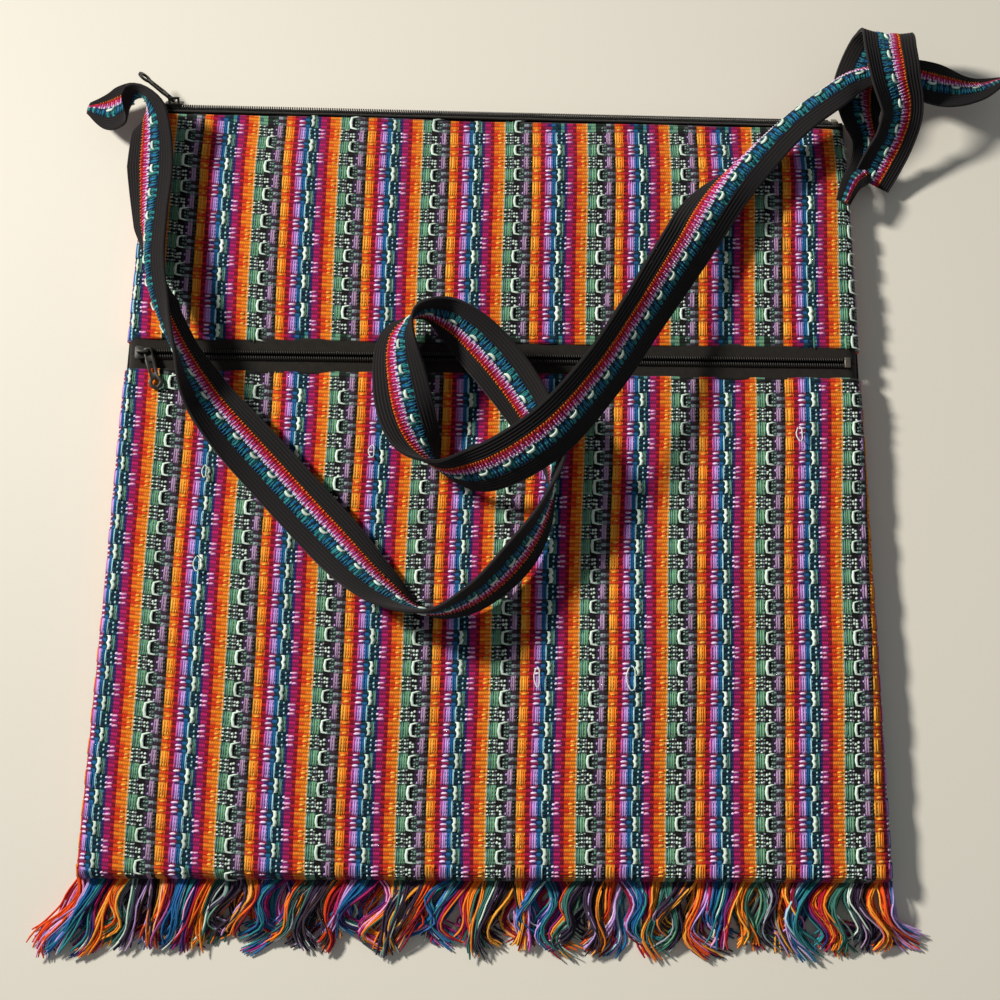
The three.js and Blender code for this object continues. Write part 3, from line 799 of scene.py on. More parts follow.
def raised_yarns_tree():
    """Sets one of the yarn shapes on each point, turned and sized by the point."""
    inputs = {label: "Object" for label in SHAPES}
    tree, given = open_group("Raised yarns", {**inputs, "Fullness": "Float", "Finish": "Material"})
    geometry = given["Geometry"]
    points = geometry.make("GeometryNodeMeshToPoints", None, {"Mesh": geometry})
    fields = {}
    for name, kind in (("turn", "QUATERNION"), ("size", "FLOAT_VECTOR"), ("kind", "INT")):
        settings = {"data_type": kind}
        fields[name] = points.make("GeometryNodeInputNamedAttribute", settings, {"Name": name})
    inputs = {0: fields["size"], "Scale": given["Fullness"]}
    scale = points.make("ShaderNodeVectorMath", {"operation": "SCALE"}, inputs)
    placed = []
    for index, label in enumerate(SHAPES):
        settings = {"data_type": "INT", "operation": "EQUAL"}
        chosen = points.make("FunctionNodeCompare", settings, {2: fields["kind"], 3: index})
        shape = points.make("GeometryNodeObjectInfo", None, {"Object": given[label]}, "Geometry")
        inputs = {"Points": points, "Selection": chosen, "Instance": shape}
        inputs.update({"Rotation": fields["turn"], "Scale": scale})
        placed.append(points.make("GeometryNodeInstanceOnPoints", None, inputs))
    together = points.make("GeometryNodeJoinGeometry", None, {0: placed})
    return close_group(tree, together, given["Finish"])


def strands_tree():
    """Turns edge paths into round yarns of each point's own thickness."""
    tree, given = open_group("Yarn ends", {"Sides": "Int", "Finish": "Material"})
    geometry = given["Geometry"]
    curve = geometry.make("GeometryNodeMeshToCurve", None, {"Mesh": geometry})
    thick = curve.make("GeometryNodeInputNamedAttribute", {"data_type": "FLOAT"}, {"Name": "thick"})
    inputs = {"Resolution": given["Sides"], "Radius": 1.0}
    ring = curve.make("GeometryNodeCurvePrimitiveCircle", None, inputs)
    inputs = {"Curve": curve, "Profile Curve": ring, "Scale": thick, "Fill Caps": True}
    tubes = curve.make("GeometryNodeCurveToMesh", None, inputs)
    return close_group(tree, tubes, given["Finish"])


def row_tree():
    """Repeats one object along a line at a fixed pitch, in two facing rows."""
    inputs = {"Tooth": "Object", "Count": "Int", "Pitch": "Float", "Finish": "Material"}
    tree, given = open_group("Zip teeth", inputs)
    start = given["Geometry"]
    shape = start.make("GeometryNodeObjectInfo", None, {"Object": given["Tooth"]}, "Geometry")
    rows = []
    for side, shift in ((0.0, 0.0), (math.pi, 0.5)):
        offset = start.make("ShaderNodeCombineXYZ", None, {0: given["Pitch"]})
        begin = start.make("ShaderNodeCombineXYZ", None, {0: given["Pitch"] * shift})
        inputs = {"Count": given["Count"], "Start Location": begin, "Offset": offset}
        line = start.make("GeometryNodeMeshLine", None, inputs)
        inputs = {"Points": line, "Instance": shape, "Rotation": (0.0, 0.0, side)}
        rows.append(start.make("GeometryNodeInstanceOnPoints", None, inputs))
    together = start.make("GeometryNodeJoinGeometry", None, {0: rows})
    return close_group(tree, together, given["Finish"])


def shape_object(name, points, faces):
    """A small object for a geometry tree to repeat; it is removed afterwards."""
    return bpy.data.objects.new(name, new_mesh(name, points, faces))


def yarn_shapes():
    """The lens of a floating yarn, the kinked dash, the open bracket and the small hook."""
    lens = tube(
        [(0, -500, -220), (0, -260, 0), (0, 260, 0), (0, 500, -220)],
        (60, 560, 560, 60),
        (60, 500, 500, 60),
        3,
    )
    dash = tube(
        [
            (-1.0, 3.3, -0.2), (0.15, 2.8, 0.3), (0.45, 1.1, 0.42), (-0.1, 0.1, 0.42),
            (0.45, -1.2, 0.42), (0.2, -2.7, 0.3), (-0.8, -3.3, -0.2),
        ],
        (0.3, 0.62, 0.72, 0.66, 0.72, 0.62, 0.3),
        (0.2, 0.4, 0.45, 0.45, 0.45, 0.4, 0.2),
        5,
    )
    bracket = tube(
        [
            (4.8, 3.7, -0.1), (1.9, 3.3, 0.3), (0.2, 2.7, 0.45), (-0.1, 0.0, 0.5),
            (0.2, -2.7, 0.45), (1.9, -3.2, 0.3), (4.6, -3.6, -0.1),
        ],
        (0.2, 0.45, 0.62, 0.7, 0.62, 0.45, 0.2),
        (0.2, 0.35, 0.42, 0.45, 0.42, 0.35, 0.2),
        5,
    )
    hook = tube(
        [
            (2.2, 2.3, -0.1), (0.9, 2.5, 0.35), (0.1, 1.5, 0.5),
            (-0.1, -0.4, 0.5), (0.2, -1.9, 0.4), (0.7, -2.6, -0.1),
        ],
        (0.2, 0.5, 0.8, 0.85, 0.65, 0.2),
        (0.2, 0.35, 0.45, 0.45, 0.4, 0.2),
        5,
    )
    return [shape_object(n, *shape) for n, shape in zip(SHAPES, (lens, dash, bracket, hook))]


def raised_mesh(seeds, tree, finish):
    """The raised yarns that grow on a set of seeds."""
    shapes = yarn_shapes()
    mesh = grown(seeds, tree, dict(zip(SHAPES, shapes), Fullness=1.0, Finish=finish))
    for shape in shapes:
        bpy.data.objects.remove(shape)
    return mesh


def tinted(tone, draws):
    """A yarn's colour made uneven by random draws, with alpha."""
    shade = np.clip(1 + YARN_JITTER[3] * draws, 0.7, 1.3)
    return np.concatenate((np.asarray(tone[:3]) * shade, np.ones((len(shade), 1))), 1)


def turn_from(across, along, over):
    """Rotations as quaternions from three unit axes."""
    turns = []
    for a, b, c in zip(across, along, over):
        turns.append(tuple(Matrix((a, b, c)).transposed().to_quaternion()))
    return np.array(turns)


# Form of the bag

def rounded(distance, reach):
    """Rises like a quarter circle from 0 at the edge to 1 at the reach."""
    short = 1 - np.clip(distance / reach, 0, 1)
    return np.sqrt(np.maximum(0, 1 - short * short))


def smoothstep(value, low, high):
    part = np.clip((value - low) / (high - low), 0, 1)
    return part * part * (3 - 2 * part)


def patch(corners, u, v):
    """Points of a flat face between four corners, and how far they are from its sides."""
    u, v = np.broadcast_arrays(np.asarray(u, float), np.asarray(v, float))
    low_left, low_right, high_left, high_right = (np.array(c, float) for c in corners)
    left = low_left + (high_left - low_left) * v[..., None]
    right = low_right + (high_right - low_right) * v[..., None]
    spot = left + (right - left) * u[..., None]
    return spot[..., 0], spot[..., 1], np.minimum(u, 1 - u) * np.linalg.norm(right - left, axis=-1)


class BagForm:
    """Corners and zip lines in millimetres, worked out from the settings."""

    def __init__(self, sizes):
        for name in sizes.__annotations__:
            setattr(self, name, getattr(sizes, name) / MM)
        half, low_half = self.top_width / 2, self.bottom_width / 2
        self.top_left = (self.top_shift - half, (self.height + self.top_drop) / 2)
        self.top_right = (self.top_shift + half, (self.height - self.top_drop) / 2)
        self.low_left = (self.bottom_shift - low_half, (self.bottom_drop - self.height) / 2)
        self.low_right = (self.bottom_shift + low_half, (-self.bottom_drop - self.height) / 2)

    def zip_y(self, x):
        share = (x - self.low_left[0]) / (self.low_right[0] - self.low_left[0])
        return self.pocket_zip_left + (self.pocket_zip_right - self.pocket_zip_left) * share

    def side_point(self, left, y):
        low = self.low_left if left else self.low_right
        high = self.top_left if left else self.top_right
        return (low[0] + (high[0] - low[0]) * (y - low[1]) / (high[1] - low[1]), y)

    def zip_corner(self, left, offset):
        guess = self.low_left[0] if left else self.low_right[0]
        first = self.side_point(left, self.zip_y(guess) + offset)
        return self.side_point(left, self.zip_y(first[0]) + offset)

    def zip_pair(self, offset):
        return self.zip_corner(True, offset), self.zip_corner(False, offset)

    def pocket_frame(self):
        """Frame of the pocket zip: along, across and up, at its left end."""
        start = np.array([*self.zip_corner(True, 0), self.front_top - self.cloth - 0.3])
        end = np.array([*self.zip_corner(False, 0), start[2]])
        return zip_frame(start, end, np.array([0.0, 0.0, 1.0]))

    def top_frame(self):
        """Frame of the top zip, which slopes from the front's edge down to the back."""
        left, right = np.array([*self.top_left, 0.0]), np.array([*self.top_right, 0.0])
        along = (right - left) / np.linalg.norm(right - left)
        out = np.cross((0.0, 0.0, 1.0), along)
        across = out * math.cos(TOP_ZIP_TILT) - np.array([0.0, 0.0, math.sin(TOP_ZIP_TILT)])
        lift = np.array([0.0, 0.0, self.top_edge]) + out * TOP_ZIP_OFFSET + across * TOP_TAPE
        return zip_frame(left + lift, right + lift, np.cross(along, across))


def zip_frame(start, end, up):
    """(matrix in millimetres, length) of a zip from its two ends."""
    size = float(np.linalg.norm(end - start))
    along = (end - start) / size
    across = np.cross(up, along)
    matrix = np.eye(4)
    matrix[:3, 0], matrix[:3, 1], matrix[:3, 2], matrix[:3, 3] = along, across, up, start
    return matrix, size


def carried(points, matrix):
    """Points moved by a matrix."""
    return np.asarray(points, float) @ matrix[:3, :3].T + matrix[:3, 3]


class Cloth:
    """One woven face: where its points lie, and which thread of the pattern is there."""

    def __init__(self, form, looks, corners, lower):
        self.form, self.corners, self.lower = form, corners, lower
        self.weave = looks.weave
        self.run = patch(corners, 0.5, 1.0)[1] - patch(corners, 0.5, 0.0)[1]
        angles = np.linspace(0, np.pi / 2, 60)
        rise = form.front_top - PANEL_FOOT
        speed = np.hypot(form.edge_round * np.sin(angles), rise * np.cos(angles))
        steps = np.diff(angles) * (speed[1:] + speed[:-1]) / 2
        left = np.concatenate((np.cumsum(steps[::-1])[::-1], [0.0]))
        self.edge_places = form.edge_round * (1 - np.cos(angles))
        self.edge_extra = left - (form.edge_round - self.edge_places)

    def extra(self, distance):
        """How much longer the cloth is than its plan, out to a rounded edge."""
        return np.interp(distance, self.edge_places, self.edge_extra)

    def point(self, u, v):
        form = self.form
        x, y, side = patch(self.corners, u, v)
        u, v = np.broadcast_arrays(u, v)
        low, high = v * self.run, (1 - v) * self.run
        # Slack in the cloth, with puckers along the zip's seam and the side seams
        soft = 0.5 * np.sin(x / 31 + 1.3) * np.sin(y / 43 + 0.4)
        soft += 0.35 * np.sin(x / 17 - y / 23) - 0.6
        zip_side = high if self.lower else low
        zip_pucker = 0.5 + 0.5 * np.sin(x / 2.9 + 2 * np.sin(x / 37))
        side_pucker = 0.5 + 0.5 * np.sin(y / 3.7 + 1.5 * np.sin(y / 29))
        soft -= 0.7 * np.exp(-zip_side / 8) * zip_pucker
        soft -= 0.8 * np.exp(-side / 10) * side_pucker
        top = form.front_top + form.crown * np.sin(np.pi * u) * np.sin(np.pi * v) + soft
        # Turned hems along the zips, and rounded edges at the sides and the bottom
        hem = 0.9 * (1 - rounded(zip_side, 1.8))
        if not self.lower:
            top = top - (form.front_top - form.top_edge) * smoothstep(v, 0.72, 1)
            hem = hem + 0.7 * (1 - rounded(high, 1.5))
        height = (top - hem - PANEL_FOOT) * rounded(side, form.edge_round)
        if self.lower:
            height = height * rounded(low, form.edge_round)
        return np.stack((x, y, PANEL_FOOT + height), -1)

    def thread(self, u, v):
        """Repeats counted across and along at a point of the face."""
        weave = self.weave
        x, y, side = patch(self.corners, u, v)
        u, v = np.broadcast_arrays(u, v)
        x = x + np.where(u < 0.5, -1, 1) * self.extra(side)
        if self.lower:
            y = y - self.extra(v * self.run)
        # The rows rise towards the left side, and the stripes waver a little
        bow = 6.0 * (np.maximum(0, -35 - x) / 92) ** 1.7
        drift = 0.5 * np.sin(y / 47 + 0.6) + 0.3 * np.sin(y / 19)
        start = weave.stripe_start / MM + weave.stripe_lean * (y - STRIPE_LEVEL) + drift
        across = (x - start) / (weave.repeat_width / MM)
        along = (y - bow - weave.row_start / MM) / (weave.repeat_height / MM)
        return across, along

    def find(self, across, along):
        """The place on the face where given threads cross."""
        u, v = np.full(across.shape, 0.5), np.full(across.shape, 0.5)
        step, rounds = 1e-4, 25
        for _ in range(rounds):
            here, row = self.thread(u, v)
            slope_u = (self.thread(np.minimum(u + step, 1), v)[0] - here) / step
            slope_v = (self.thread(u, np.minimum(v + step, 1))[1] - row) / step
            u = np.clip(u + 0.9 * (across - here) / np.maximum(slope_u, 2.0), -0.02, 1.02)
            v = np.clip(v + 0.9 * (along - row) / np.maximum(slope_v, 2.0), -0.02, 1.02)
        here, row = self.thread(np.clip(u, 0, 1), np.clip(v, 0, 1))
        good = (abs(here - across) < 0.01) & (abs(row - along) < 0.03)
        good &= (u > 0.0) & (u < 1.0) & (v > 0.0) & (v < 1.0)
        return u, v, good

    def axes(self, u, v):
        """Unit axes across the stripes, along them and out of the face."""
        step = 5e-4
        low_u, high_u = np.clip(u - step, 0, 1), np.clip(u + step, 0, 1)
        low_v, high_v = np.clip(v - step, 0, 1), np.clip(v + step, 0, 1)
        across = self.point(high_u, v) - self.point(low_u, v)
        along = self.point(u, high_v) - self.point(u, low_v)
        over = np.cross(across, along)
        over /= np.linalg.norm(over, axis=-1)[..., None]
        along /= np.linalg.norm(along, axis=-1)[..., None]
        return np.cross(along, over), along, over

    def mesh(self, name):
        """The cloth with its weft ribs, and a coarse inner face."""
        form, weave = self.form, self.weave
        middle = np.linspace(0, 1, PANEL_STEPS)
        near = np.array([0, 0.02, 0.08, 0.18, 0.32, 0.5, 0.72]) * form.edge_round / form.bottom_width
        inside = middle[(middle > near[-1] * 1.4) & (middle < 1 - near[-1] * 1.4)]
        us = np.concatenate((near, inside, 1 - near[::-1]))
        dense = np.linspace(0, 1, 4000)
        rows = self.thread(np.full(dense.shape, 0.5), dense)[1]
        count = int((rows[-1] - rows[0]) * weave.picks * RIB_ROWS)
        vs = np.interp(np.linspace(rows[0], rows[-1], count), rows, dense)
        grid_u, grid_v = np.meshgrid(us, vs, indexing="ij")
        outer = self.point(grid_u, grid_v)
        over = self.axes(grid_u, grid_v)[2]
        across, along = self.thread(grid_u, grid_v)
        ribs = abs(np.sin(np.pi * along * weave.picks)) - 0.6
        keep = np.minimum(grid_u, 1 - grid_u) > 0
        outer = outer + over * (ribs * keep * weave.rib_depth / MM)[..., None]
        steps = np.linspace(0, 1, INNER_STEPS)
        flat_u, flat_v = np.meshgrid(steps, steps, indexing="ij")
        inner = self.point(flat_u, flat_v) - self.axes(flat_u, flat_v)[2] * (form.cloth - 0.2)
        inner[..., 2] = np.maximum(inner[..., 2], PANEL_FOOT)
        points, faces = closed_sheet(outer, us, vs, inner, steps, steps)
        inner_threads = self.thread(flat_u, flat_v)
        uv = [np.concatenate((a.ravel(), b.ravel())) for a, b in zip((across, along), inner_threads)]
        return new_mesh(name, points, faces, np.stack(uv, -1))

    def floats(self, looks, rng):
        """Seeds of the raised yarns: places, turns, sizes, kinds and tints."""
        specs = yarn_specs(looks, self.weave.repeat_width / MM, self.weave.repeat_height / MM)
        columns, rows = np.meshgrid(np.arange(-2, 11), np.arange(-8, 24), indexing="ij")
        count = columns.size
        spots, sizes, kinds, tints, rolls = [], [], [], [], []
        for across, along, kind, size, tone, crosswise in specs:
            jitter = rng.normal(0, 1, (count, 4))
            u = columns.ravel() + across + jitter[:, 0] * YARN_JITTER[0]
            v = rows.ravel() + along + jitter[:, 1] * YARN_JITTER[1]
            spots.append(np.stack((u, v), -1))
            sizes.append(np.asarray(size) * (1 + YARN_JITTER[2] * jitter[:, 2:3]))
            kinds.append(np.full(count, kind))
            rolls.append(np.full(count, crosswise))
            tints.append(tinted(tone, jitter[:, 3:4]))
        spots, sizes = np.concatenate(spots), np.concatenate(sizes)
        kinds, tints, rolls = np.concatenate(kinds), np.concatenate(tints), np.concatenate(rolls)
        u, v, good = self.find(spots[:, 0], spots[:, 1])
        margin = 2.6 / self.run
        good &= (v > margin) & (v < 1 - margin)
        u, v, sizes, kinds, tints, rolls = (a[good] for a in (u, v, sizes, kinds, tints, rolls))
        across, along, over = self.axes(u, v)
        places = self.point(u, v) + over * 0.1
        swap = rolls[:, None]
        turns = turn_from(np.where(swap, along, across), np.where(swap, -across, along), over)
        return seeds_mesh(places, turns, sizes, kinds, np.clip(tints, 0, 1))


def yarn_specs(looks, wide, tall):
    """Raised yarns of one repeat: place, kind, size, colour and whether it lies crosswise."""
    specs = []
    high = looks.weave.float_height
    start = 0.0
    for end, first_half, _, second_half, _, floats in CLOTH_DRAFT:
        for block, along, name in (("A", 0.25, first_half), ("B", 0.75, second_half)):
            if block in floats:
                count = max(1, round((end - start) * wide / FLOAT_PITCH))
                thick = (end - start) * wide / count * MM * FLOAT_OVERLAP
                size = (thick, FLOAT_RUN * tall * MM, high)
                for k in range(count):
                    across = start + (end - start) * (k + 0.5) / count
                    specs.append((across, along, YARN, size, yarn(looks, name), False))
        start = end
    specs.append((0.316, 0.75, DASH, (1.3, 1.0, 1.0), yarn(looks, "mint"), False))
    specs.append((0.790, 0.75, BRACKET, (1.1, 0.95, 1.0), yarn(looks, "mint"), False))
    bar = tall / looks.weave.picks
    first = [(k + 0.5) / looks.weave.picks for k in range(looks.weave.picks // 2)]
    second = [0.5 + along for along in first]
    three = (0.09, 0.25, 0.41)
    later = [0.5 + along for along in three]
    for across, width, name, rows in (
        (0.356, 0.9, "glass", three),
        (0.416, 1.5, "lilac", three),
        (0.455, 2.7, "rose", three),
        (0.194, 3.0, "lilac", later),
        (0.055, 2.6, "amber", later[::2]),
        (0.615, 2.4, "amber", three),
        (0.684, 1.2, "mint", first),
        (0.711, 1.0, "sage", first),
        (0.738, 1.2, "mint", first),
        (0.766, 1.0, "ash", first),
        (0.796, 1.2, "mint", first[1:3]),
        (0.828, 1.3, "mint", first[:3]),
        (0.852, 0.9, "ash", second),
        (0.884, 1.3, "sage", second),
        (0.885, 0.9, "orchid", first[::2]),
        (0.928, 1.4, "ash", second[::2]),
        (0.972, 0.9, "pewter", first),
    ):
        thick = FEW_THICK if len(rows) < 4 else MANY_THICK
        size = (bar * thick * MM, width * 1.1 * MM, high * 0.9)
        for along in rows:
            specs.append((across, along, YARN, size, yarn(looks, name), True))
    return specs


# Curves through stations, as the CAD routes run

def through(stations, spots, centripetal):
    """Points on a Catmull-Rom curve at places counted in stations."""
    stations = np.asarray(stations, float)
    padded = np.concatenate(
        ([2 * stations[0] - stations[1]], stations, [2 * stations[-1] - stations[-2]])
    )
    index = np.minimum(np.floor(spots).astype(int), len(stations) - 2)
    part = (spots - index)[:, None]
    p0, p1, p2, p3 = (padded[index + k] for k in range(4))
    if centripetal:
        pairs = ((p0, p1), (p1, p2), (p2, p3))
        d0, d1, d2 = (np.linalg.norm(b - a, axis=1)[:, None] ** 0.5 for a, b in pairs)
        t1 = ((p1 - p0) / d0 - (p2 - p0) / (d0 + d1) + (p2 - p1) / d1) * d1
        t2 = ((p2 - p1) / d1 - (p3 - p1) / (d1 + d2) + (p3 - p2) / d2) * d1
    else:
        t1, t2 = (p2 - p0) / 2, (p3 - p1) / 2
    c2 = -3 * p1 + 3 * p2 - 2 * t1 - t2
    c3 = 2 * p1 - 2 * p2 + t1 + t2
    return p1 + part * (t1 + part * (c2 + part * c3))


class Ribbon:
    """A strap band sampled evenly along its length, in millimetres."""

    def __init__(self, spots, edges, widths, curls, arch, step):
        fine = np.linspace(0, len(spots) - 1, 40 * len(spots))
        path = through(spots, fine, True)
        run = np.concatenate(([0.0], np.cumsum(np.linalg.norm(np.diff(path, axis=0), axis=1))))
        self.length = float(run[-1])
        self.run = np.linspace(0, self.length, int(self.length / step))
        places = np.interp(self.run, run, fine)
        self.middle = through(spots, places, True)
        self.along = unit(np.gradient(self.middle, axis=0))
        edge = through(edges, places, False)
        edge = edge - self.along * np.sum(edge * self.along, 1)[:, None]
        self.edge = unit(edge)
        self.face = np.cross(self.along, self.edge)
        self.half = through(np.asarray(widths, float)[:, None], places, False)[:, 0] / 2
        self.curl = np.interp(places, np.arange(len(curls)), curls)
        self.arch = arch

    def surface(self, run, share, lift):
        """Points, normals and lengthwise directions of the band.

        The share across goes from 0 at one edge to 1 at the other, and the side towards the
        first edge folds away from the face, or towards it where the curl is below 0.
        """
        middle, edge, face, along = (
            np.stack([np.interp(run, self.run, part[:, k]) for k in range(3)], -1)
            for part in (self.middle, self.edge, self.face, self.along)
        )
        edge, face = unit(edge), unit(face)
        half, curl = np.interp(run, self.run, self.half), np.interp(run, self.run, self.curl)
        fold = np.where(curl < 0, FOLD_PLACES[1], FOLD_PLACES[0])
        reach = 2 * (fold - share) * half
        turn, way = np.abs(curl), np.sign(curl)
        bend = np.maximum(turn / (FOLD_SOFTNESS * half), 1e-5)
        angle = np.minimum(np.maximum(reach, 0) * bend, turn)
        rest = np.maximum(reach, 0) - angle / bend
        aside = np.where(reach > 0, np.sin(angle) / bend + rest * np.cos(angle), reach)
        aside = aside - (2 * fold - 1) * half
        drop = way * ((1 - np.cos(angle)) / bend + rest * np.sin(angle))
        normal = face * np.cos(angle)[..., None] + edge * (way * np.sin(angle))[..., None]
        swell = self.arch * (1 - (2 * share - 1) ** 2)
        place = middle + edge * aside[..., None] - face * drop[..., None]
        return place + normal * (lift + swell)[..., None], normal, unit(along)


def unit(vectors):
    return vectors / np.maximum(np.linalg.norm(vectors, axis=-1), 1e-9)[..., None]


def band_section(ribs):
    """Places across the band and the relief there: ribs along both dark edges."""
    per, start, end = 3, STRAP_DRAFT[0][0], STRAP_DRAFT[-2][0]
    edge = np.linspace(0.0, start, ribs * per + 1)
    middle = np.linspace(start, end, 9)[1:-1]
    other = np.linspace(end, 1.0, ribs * per + 1)
    across = np.concatenate((edge, middle, other))
    wave = np.where(np.arange(len(edge)) % per == 0, GROOVE, CREST)
    relief = np.concatenate((wave, np.full(len(middle), MIDDLE), wave))
    relief[[0, -1]] = RIM
    return across, relief


def band_mesh(name, ribbon, strap, flip):
    """A closed woven band with ribbed edges; its UV map counts stripes and repeats."""
    across, relief = band_section(strap.ribs)
    thick = strap.thickness / MM / 2
    shares = np.concatenate((across, across[::-1]))
    lifts = np.concatenate((thick + relief, -(thick + relief[::-1])))
    count, around = len(ribbon.run), len(shares)
    run, share, lift = np.broadcast_arrays(ribbon.run[:, None], shares[None], lifts[None])
    points = ribbon.surface(run, share, lift)[0]
    index = np.arange(count * around).reshape(count, around)
    turned = np.roll(index, -1, axis=1)
    quads = np.stack((index[:-1], turned[:-1], turned[1:], index[1:]), -1).reshape(-1, 4).tolist()
    half = around // 2
    for row, ahead in ((0, False), (count - 1, True)):
        for k in range(half - 1):
            loop = [index[row, i] for i in (k, k + 1, around - 2 - k, around - 1 - k)]
            quads.append([int(i) for i in (loop if ahead else loop[::-1])])
    stripe = (1 - share if flip else share) * 0.998 + 0.001
    uv = np.stack((stripe, run / (strap.repeat / MM)), -1)
    mesh = new_mesh(name, points.reshape(-1, 3), quads, uv.reshape(-1, 2))
    with opened(mesh) as work:
        bmesh.ops.recalc_face_normals(work, faces=work.faces)
    return mesh


# Rows of crosswise yarns in one repeat of the strap
ROWS = [(k + 0.5) / 8 for k in range(8)]

# Raised yarns of the strap: place across, width and length in millimetres, colour and rows
STRAP_YARNS = (
    (0.405, 0.8, 3.0, "rose", ROWS[::2]),
    (0.400, 0.8, 1.8, "pink", ROWS[1::2]),
    (0.455, 0.8, 1.8, "lilac", ROWS),
    (0.490, 0.8, 1.2, "mint", ROWS[:4]),
    (0.345, 0.8, 2.2, "red", ROWS),
    (0.304, 0.7, 1.4, "tangerine", ROWS),
    (0.625, 0.8, 3.0, "teal", ROWS),
    (0.675, 0.8, 1.8, "steel", ROWS[:4]),
)


def band_floats(looks, ribbon, strap, flip, rng):
    """Seeds of the raised yarns on both faces of a band."""
    repeat = strap.repeat / MM
    thick = strap.thickness / MM / 2
    starts = np.arange(0.4, ribbon.length / repeat - 0.4)
    high = looks.weave.float_height
    # One small hook in each repeat, then the crosswise yarns
    groups = [(0.560, 0.75, HOOK, (-1.0, 0.85, 1.0), yarn(looks, "mint"), False)]
    for across, wide, tall, name, rows in STRAP_YARNS:
        size = (wide * MM, tall * MM, high)
        groups += [(across, along, YARN, size, yarn(looks, name), True) for along in rows]
    places, turns, sizes, kinds, tints = [], [], [], [], []
    for side in (1, -1):
        for across, along, kind, size, tone, crosswise in groups:
            run = (starts + along + rng.normal(0, 0.015, len(starts))) * repeat
            share = np.full(len(run), 1 - across if flip else across)
            spot, normal, path = ribbon.surface(run, share, np.full(len(run), side * (thick + 0.05)))
            # The yarns shrink with the band, and are left out where it is narrower than half
            narrow = np.interp(run, ribbon.run, ribbon.half) / STRAP_HALF
            keep = narrow > 0.5
            over = unit(normal * side)
            path = unit(path - over * np.sum(path * over, 1)[:, None])
            right = np.cross(path, over)
            turn = turn_from(path, -right, over) if crosswise else turn_from(right, path, over)
            tint = tinted(tone, rng.normal(0, 1, (len(run), 1)))
            scale = np.tile(size, (len(run), 1))
            scale[:, 1 if crosswise else 0] *= narrow
            places.append(spot[keep])
            turns.append(turn[keep])
            sizes.append(scale[keep])
            kinds.append(np.full(keep.sum(), kind))
            tints.append(tint[keep])
    joined = [np.concatenate(part) for part in (places, turns, sizes, kinds, tints)]
    return seeds_mesh(*joined[:-1], np.clip(joined[-1], 0, 1))


def shoulder_ribbon(form, step):
    """The shoulder strap's band, rolled about its path at each station."""
    route = np.array(SHOULDER_ROUTE, float)
    spots = route[:, :3] + np.array([0, 0, form.front_top])
    places = np.arange(len(spots), dtype=float)
    delta = 1e-3
    ahead = through(spots, np.minimum(places + delta, len(spots) - 1), True)
    behind = through(spots, np.maximum(places - delta, 0), True)
    along = unit(ahead - behind)
    left = unit(np.stack((-along[:, 1], along[:, 0], 0 * along[:, 0]), -1))
    roll = np.radians(route[:, 3])[:, None]
    edges = left * np.cos(roll) + np.array([0, 0, 1.0]) * np.sin(roll)
    curls = [STRAP_CURL.get(k, 0.0) for k in range(len(route))]
    return Ribbon(spots, edges, route[:, 4], curls, STRAP_ARCH, step)


def tie_ribbon(form, step):
    """The tie strap's band, with its edge's direction given at each station."""
    spots = np.array([row[:3] for row in TIE_ROUTE], float) + np.array([0, 0, form.front_top])
    edges, widths = [row[3] for row in TIE_ROUTE], [row[4] for row in TIE_ROUTE]
    return Ribbon(spots, edges, widths, [0.0] * len(widths), TIE_ARCH, step)


# Zips

def tape_mesh(name, sides, matrix, size, ends, drop):
    """Two narrow tapes side by side in a zip's own frame, sewn together at both ends."""
    tubes, uvs = [], []
    xs = np.linspace(ends, size - ends, 160)
    for low, high in sides:
        ys = np.linspace(low, high, 7)
        grid_x, grid_y = np.meshgrid(xs, ys, indexing="ij")
        parted = smoothstep(np.minimum(grid_x, size - grid_x) - ends, TAPE_SEWN, TAPE_OPEN)
        inner, outer = (low, high) if low > 0 else (high, low)
        share = (grid_y - outer) / (inner - outer)
        grid_y = outer + share * (inner * np.maximum(parted, TAPE_TOUCH) - outer)
        ripple = 0.08 * np.sin(grid_x / 5.1) * np.sin(grid_x / 17)
        upper = np.stack((grid_x, grid_y, ripple - drop(grid_x)), -1)
        lower = upper - np.array([0, 0, TAPE_THICKNESS])
        us, vs = np.linspace(0, 1, len(xs)), np.linspace(0, 1, len(ys))
        points, faces = closed_sheet(upper, us, vs, lower, us, vs)
        tubes.append((carried(points, matrix), faces))
        uvs.append(points[:, :2])
    points, faces = joined_tubes(tubes)
    return new_mesh(name, points, faces, np.concatenate(uvs))


def tooth_shape():
    """One coil of the zip: an arch from the tape over to the middle."""
    path = [
        (0.35, 0.3, 1.15), (0.15, 0.75, 1.45), (0.05, 1.3, 1.5),
        (-0.05, 1.85, 1.3), (-0.1, 2.2, 0.75), (-0.1, 2.25, 0.25),
    ]
    wide = (0.26, 0.36, 0.34, 0.34, 0.34, 0.3)
    high = (0.3, 0.34, 0.32, 0.32, 0.32, 0.3)
    return shape_object("Tooth", *tube(path, wide, high, 5))


def zip_teeth(first, last, matrix, finish):
    """The interlocking coils of a closed zip."""
    tooth = tooth_shape()
    count = int((last - first) / COIL_PITCH)
    seed = bpy.data.meshes.new("seed")
    values = {"Tooth": tooth, "Count": count, "Pitch": COIL_PITCH * MM, "Finish": finish}
    mesh = grown(seed, row_tree(), values)
    bpy.data.objects.remove(tooth)
    place = Matrix(matrix.tolist())
    place.translation *= MM
    mesh.transform(place @ Matrix.Translation(((first + 0.4) * MM, 0, 0)))
    return mesh


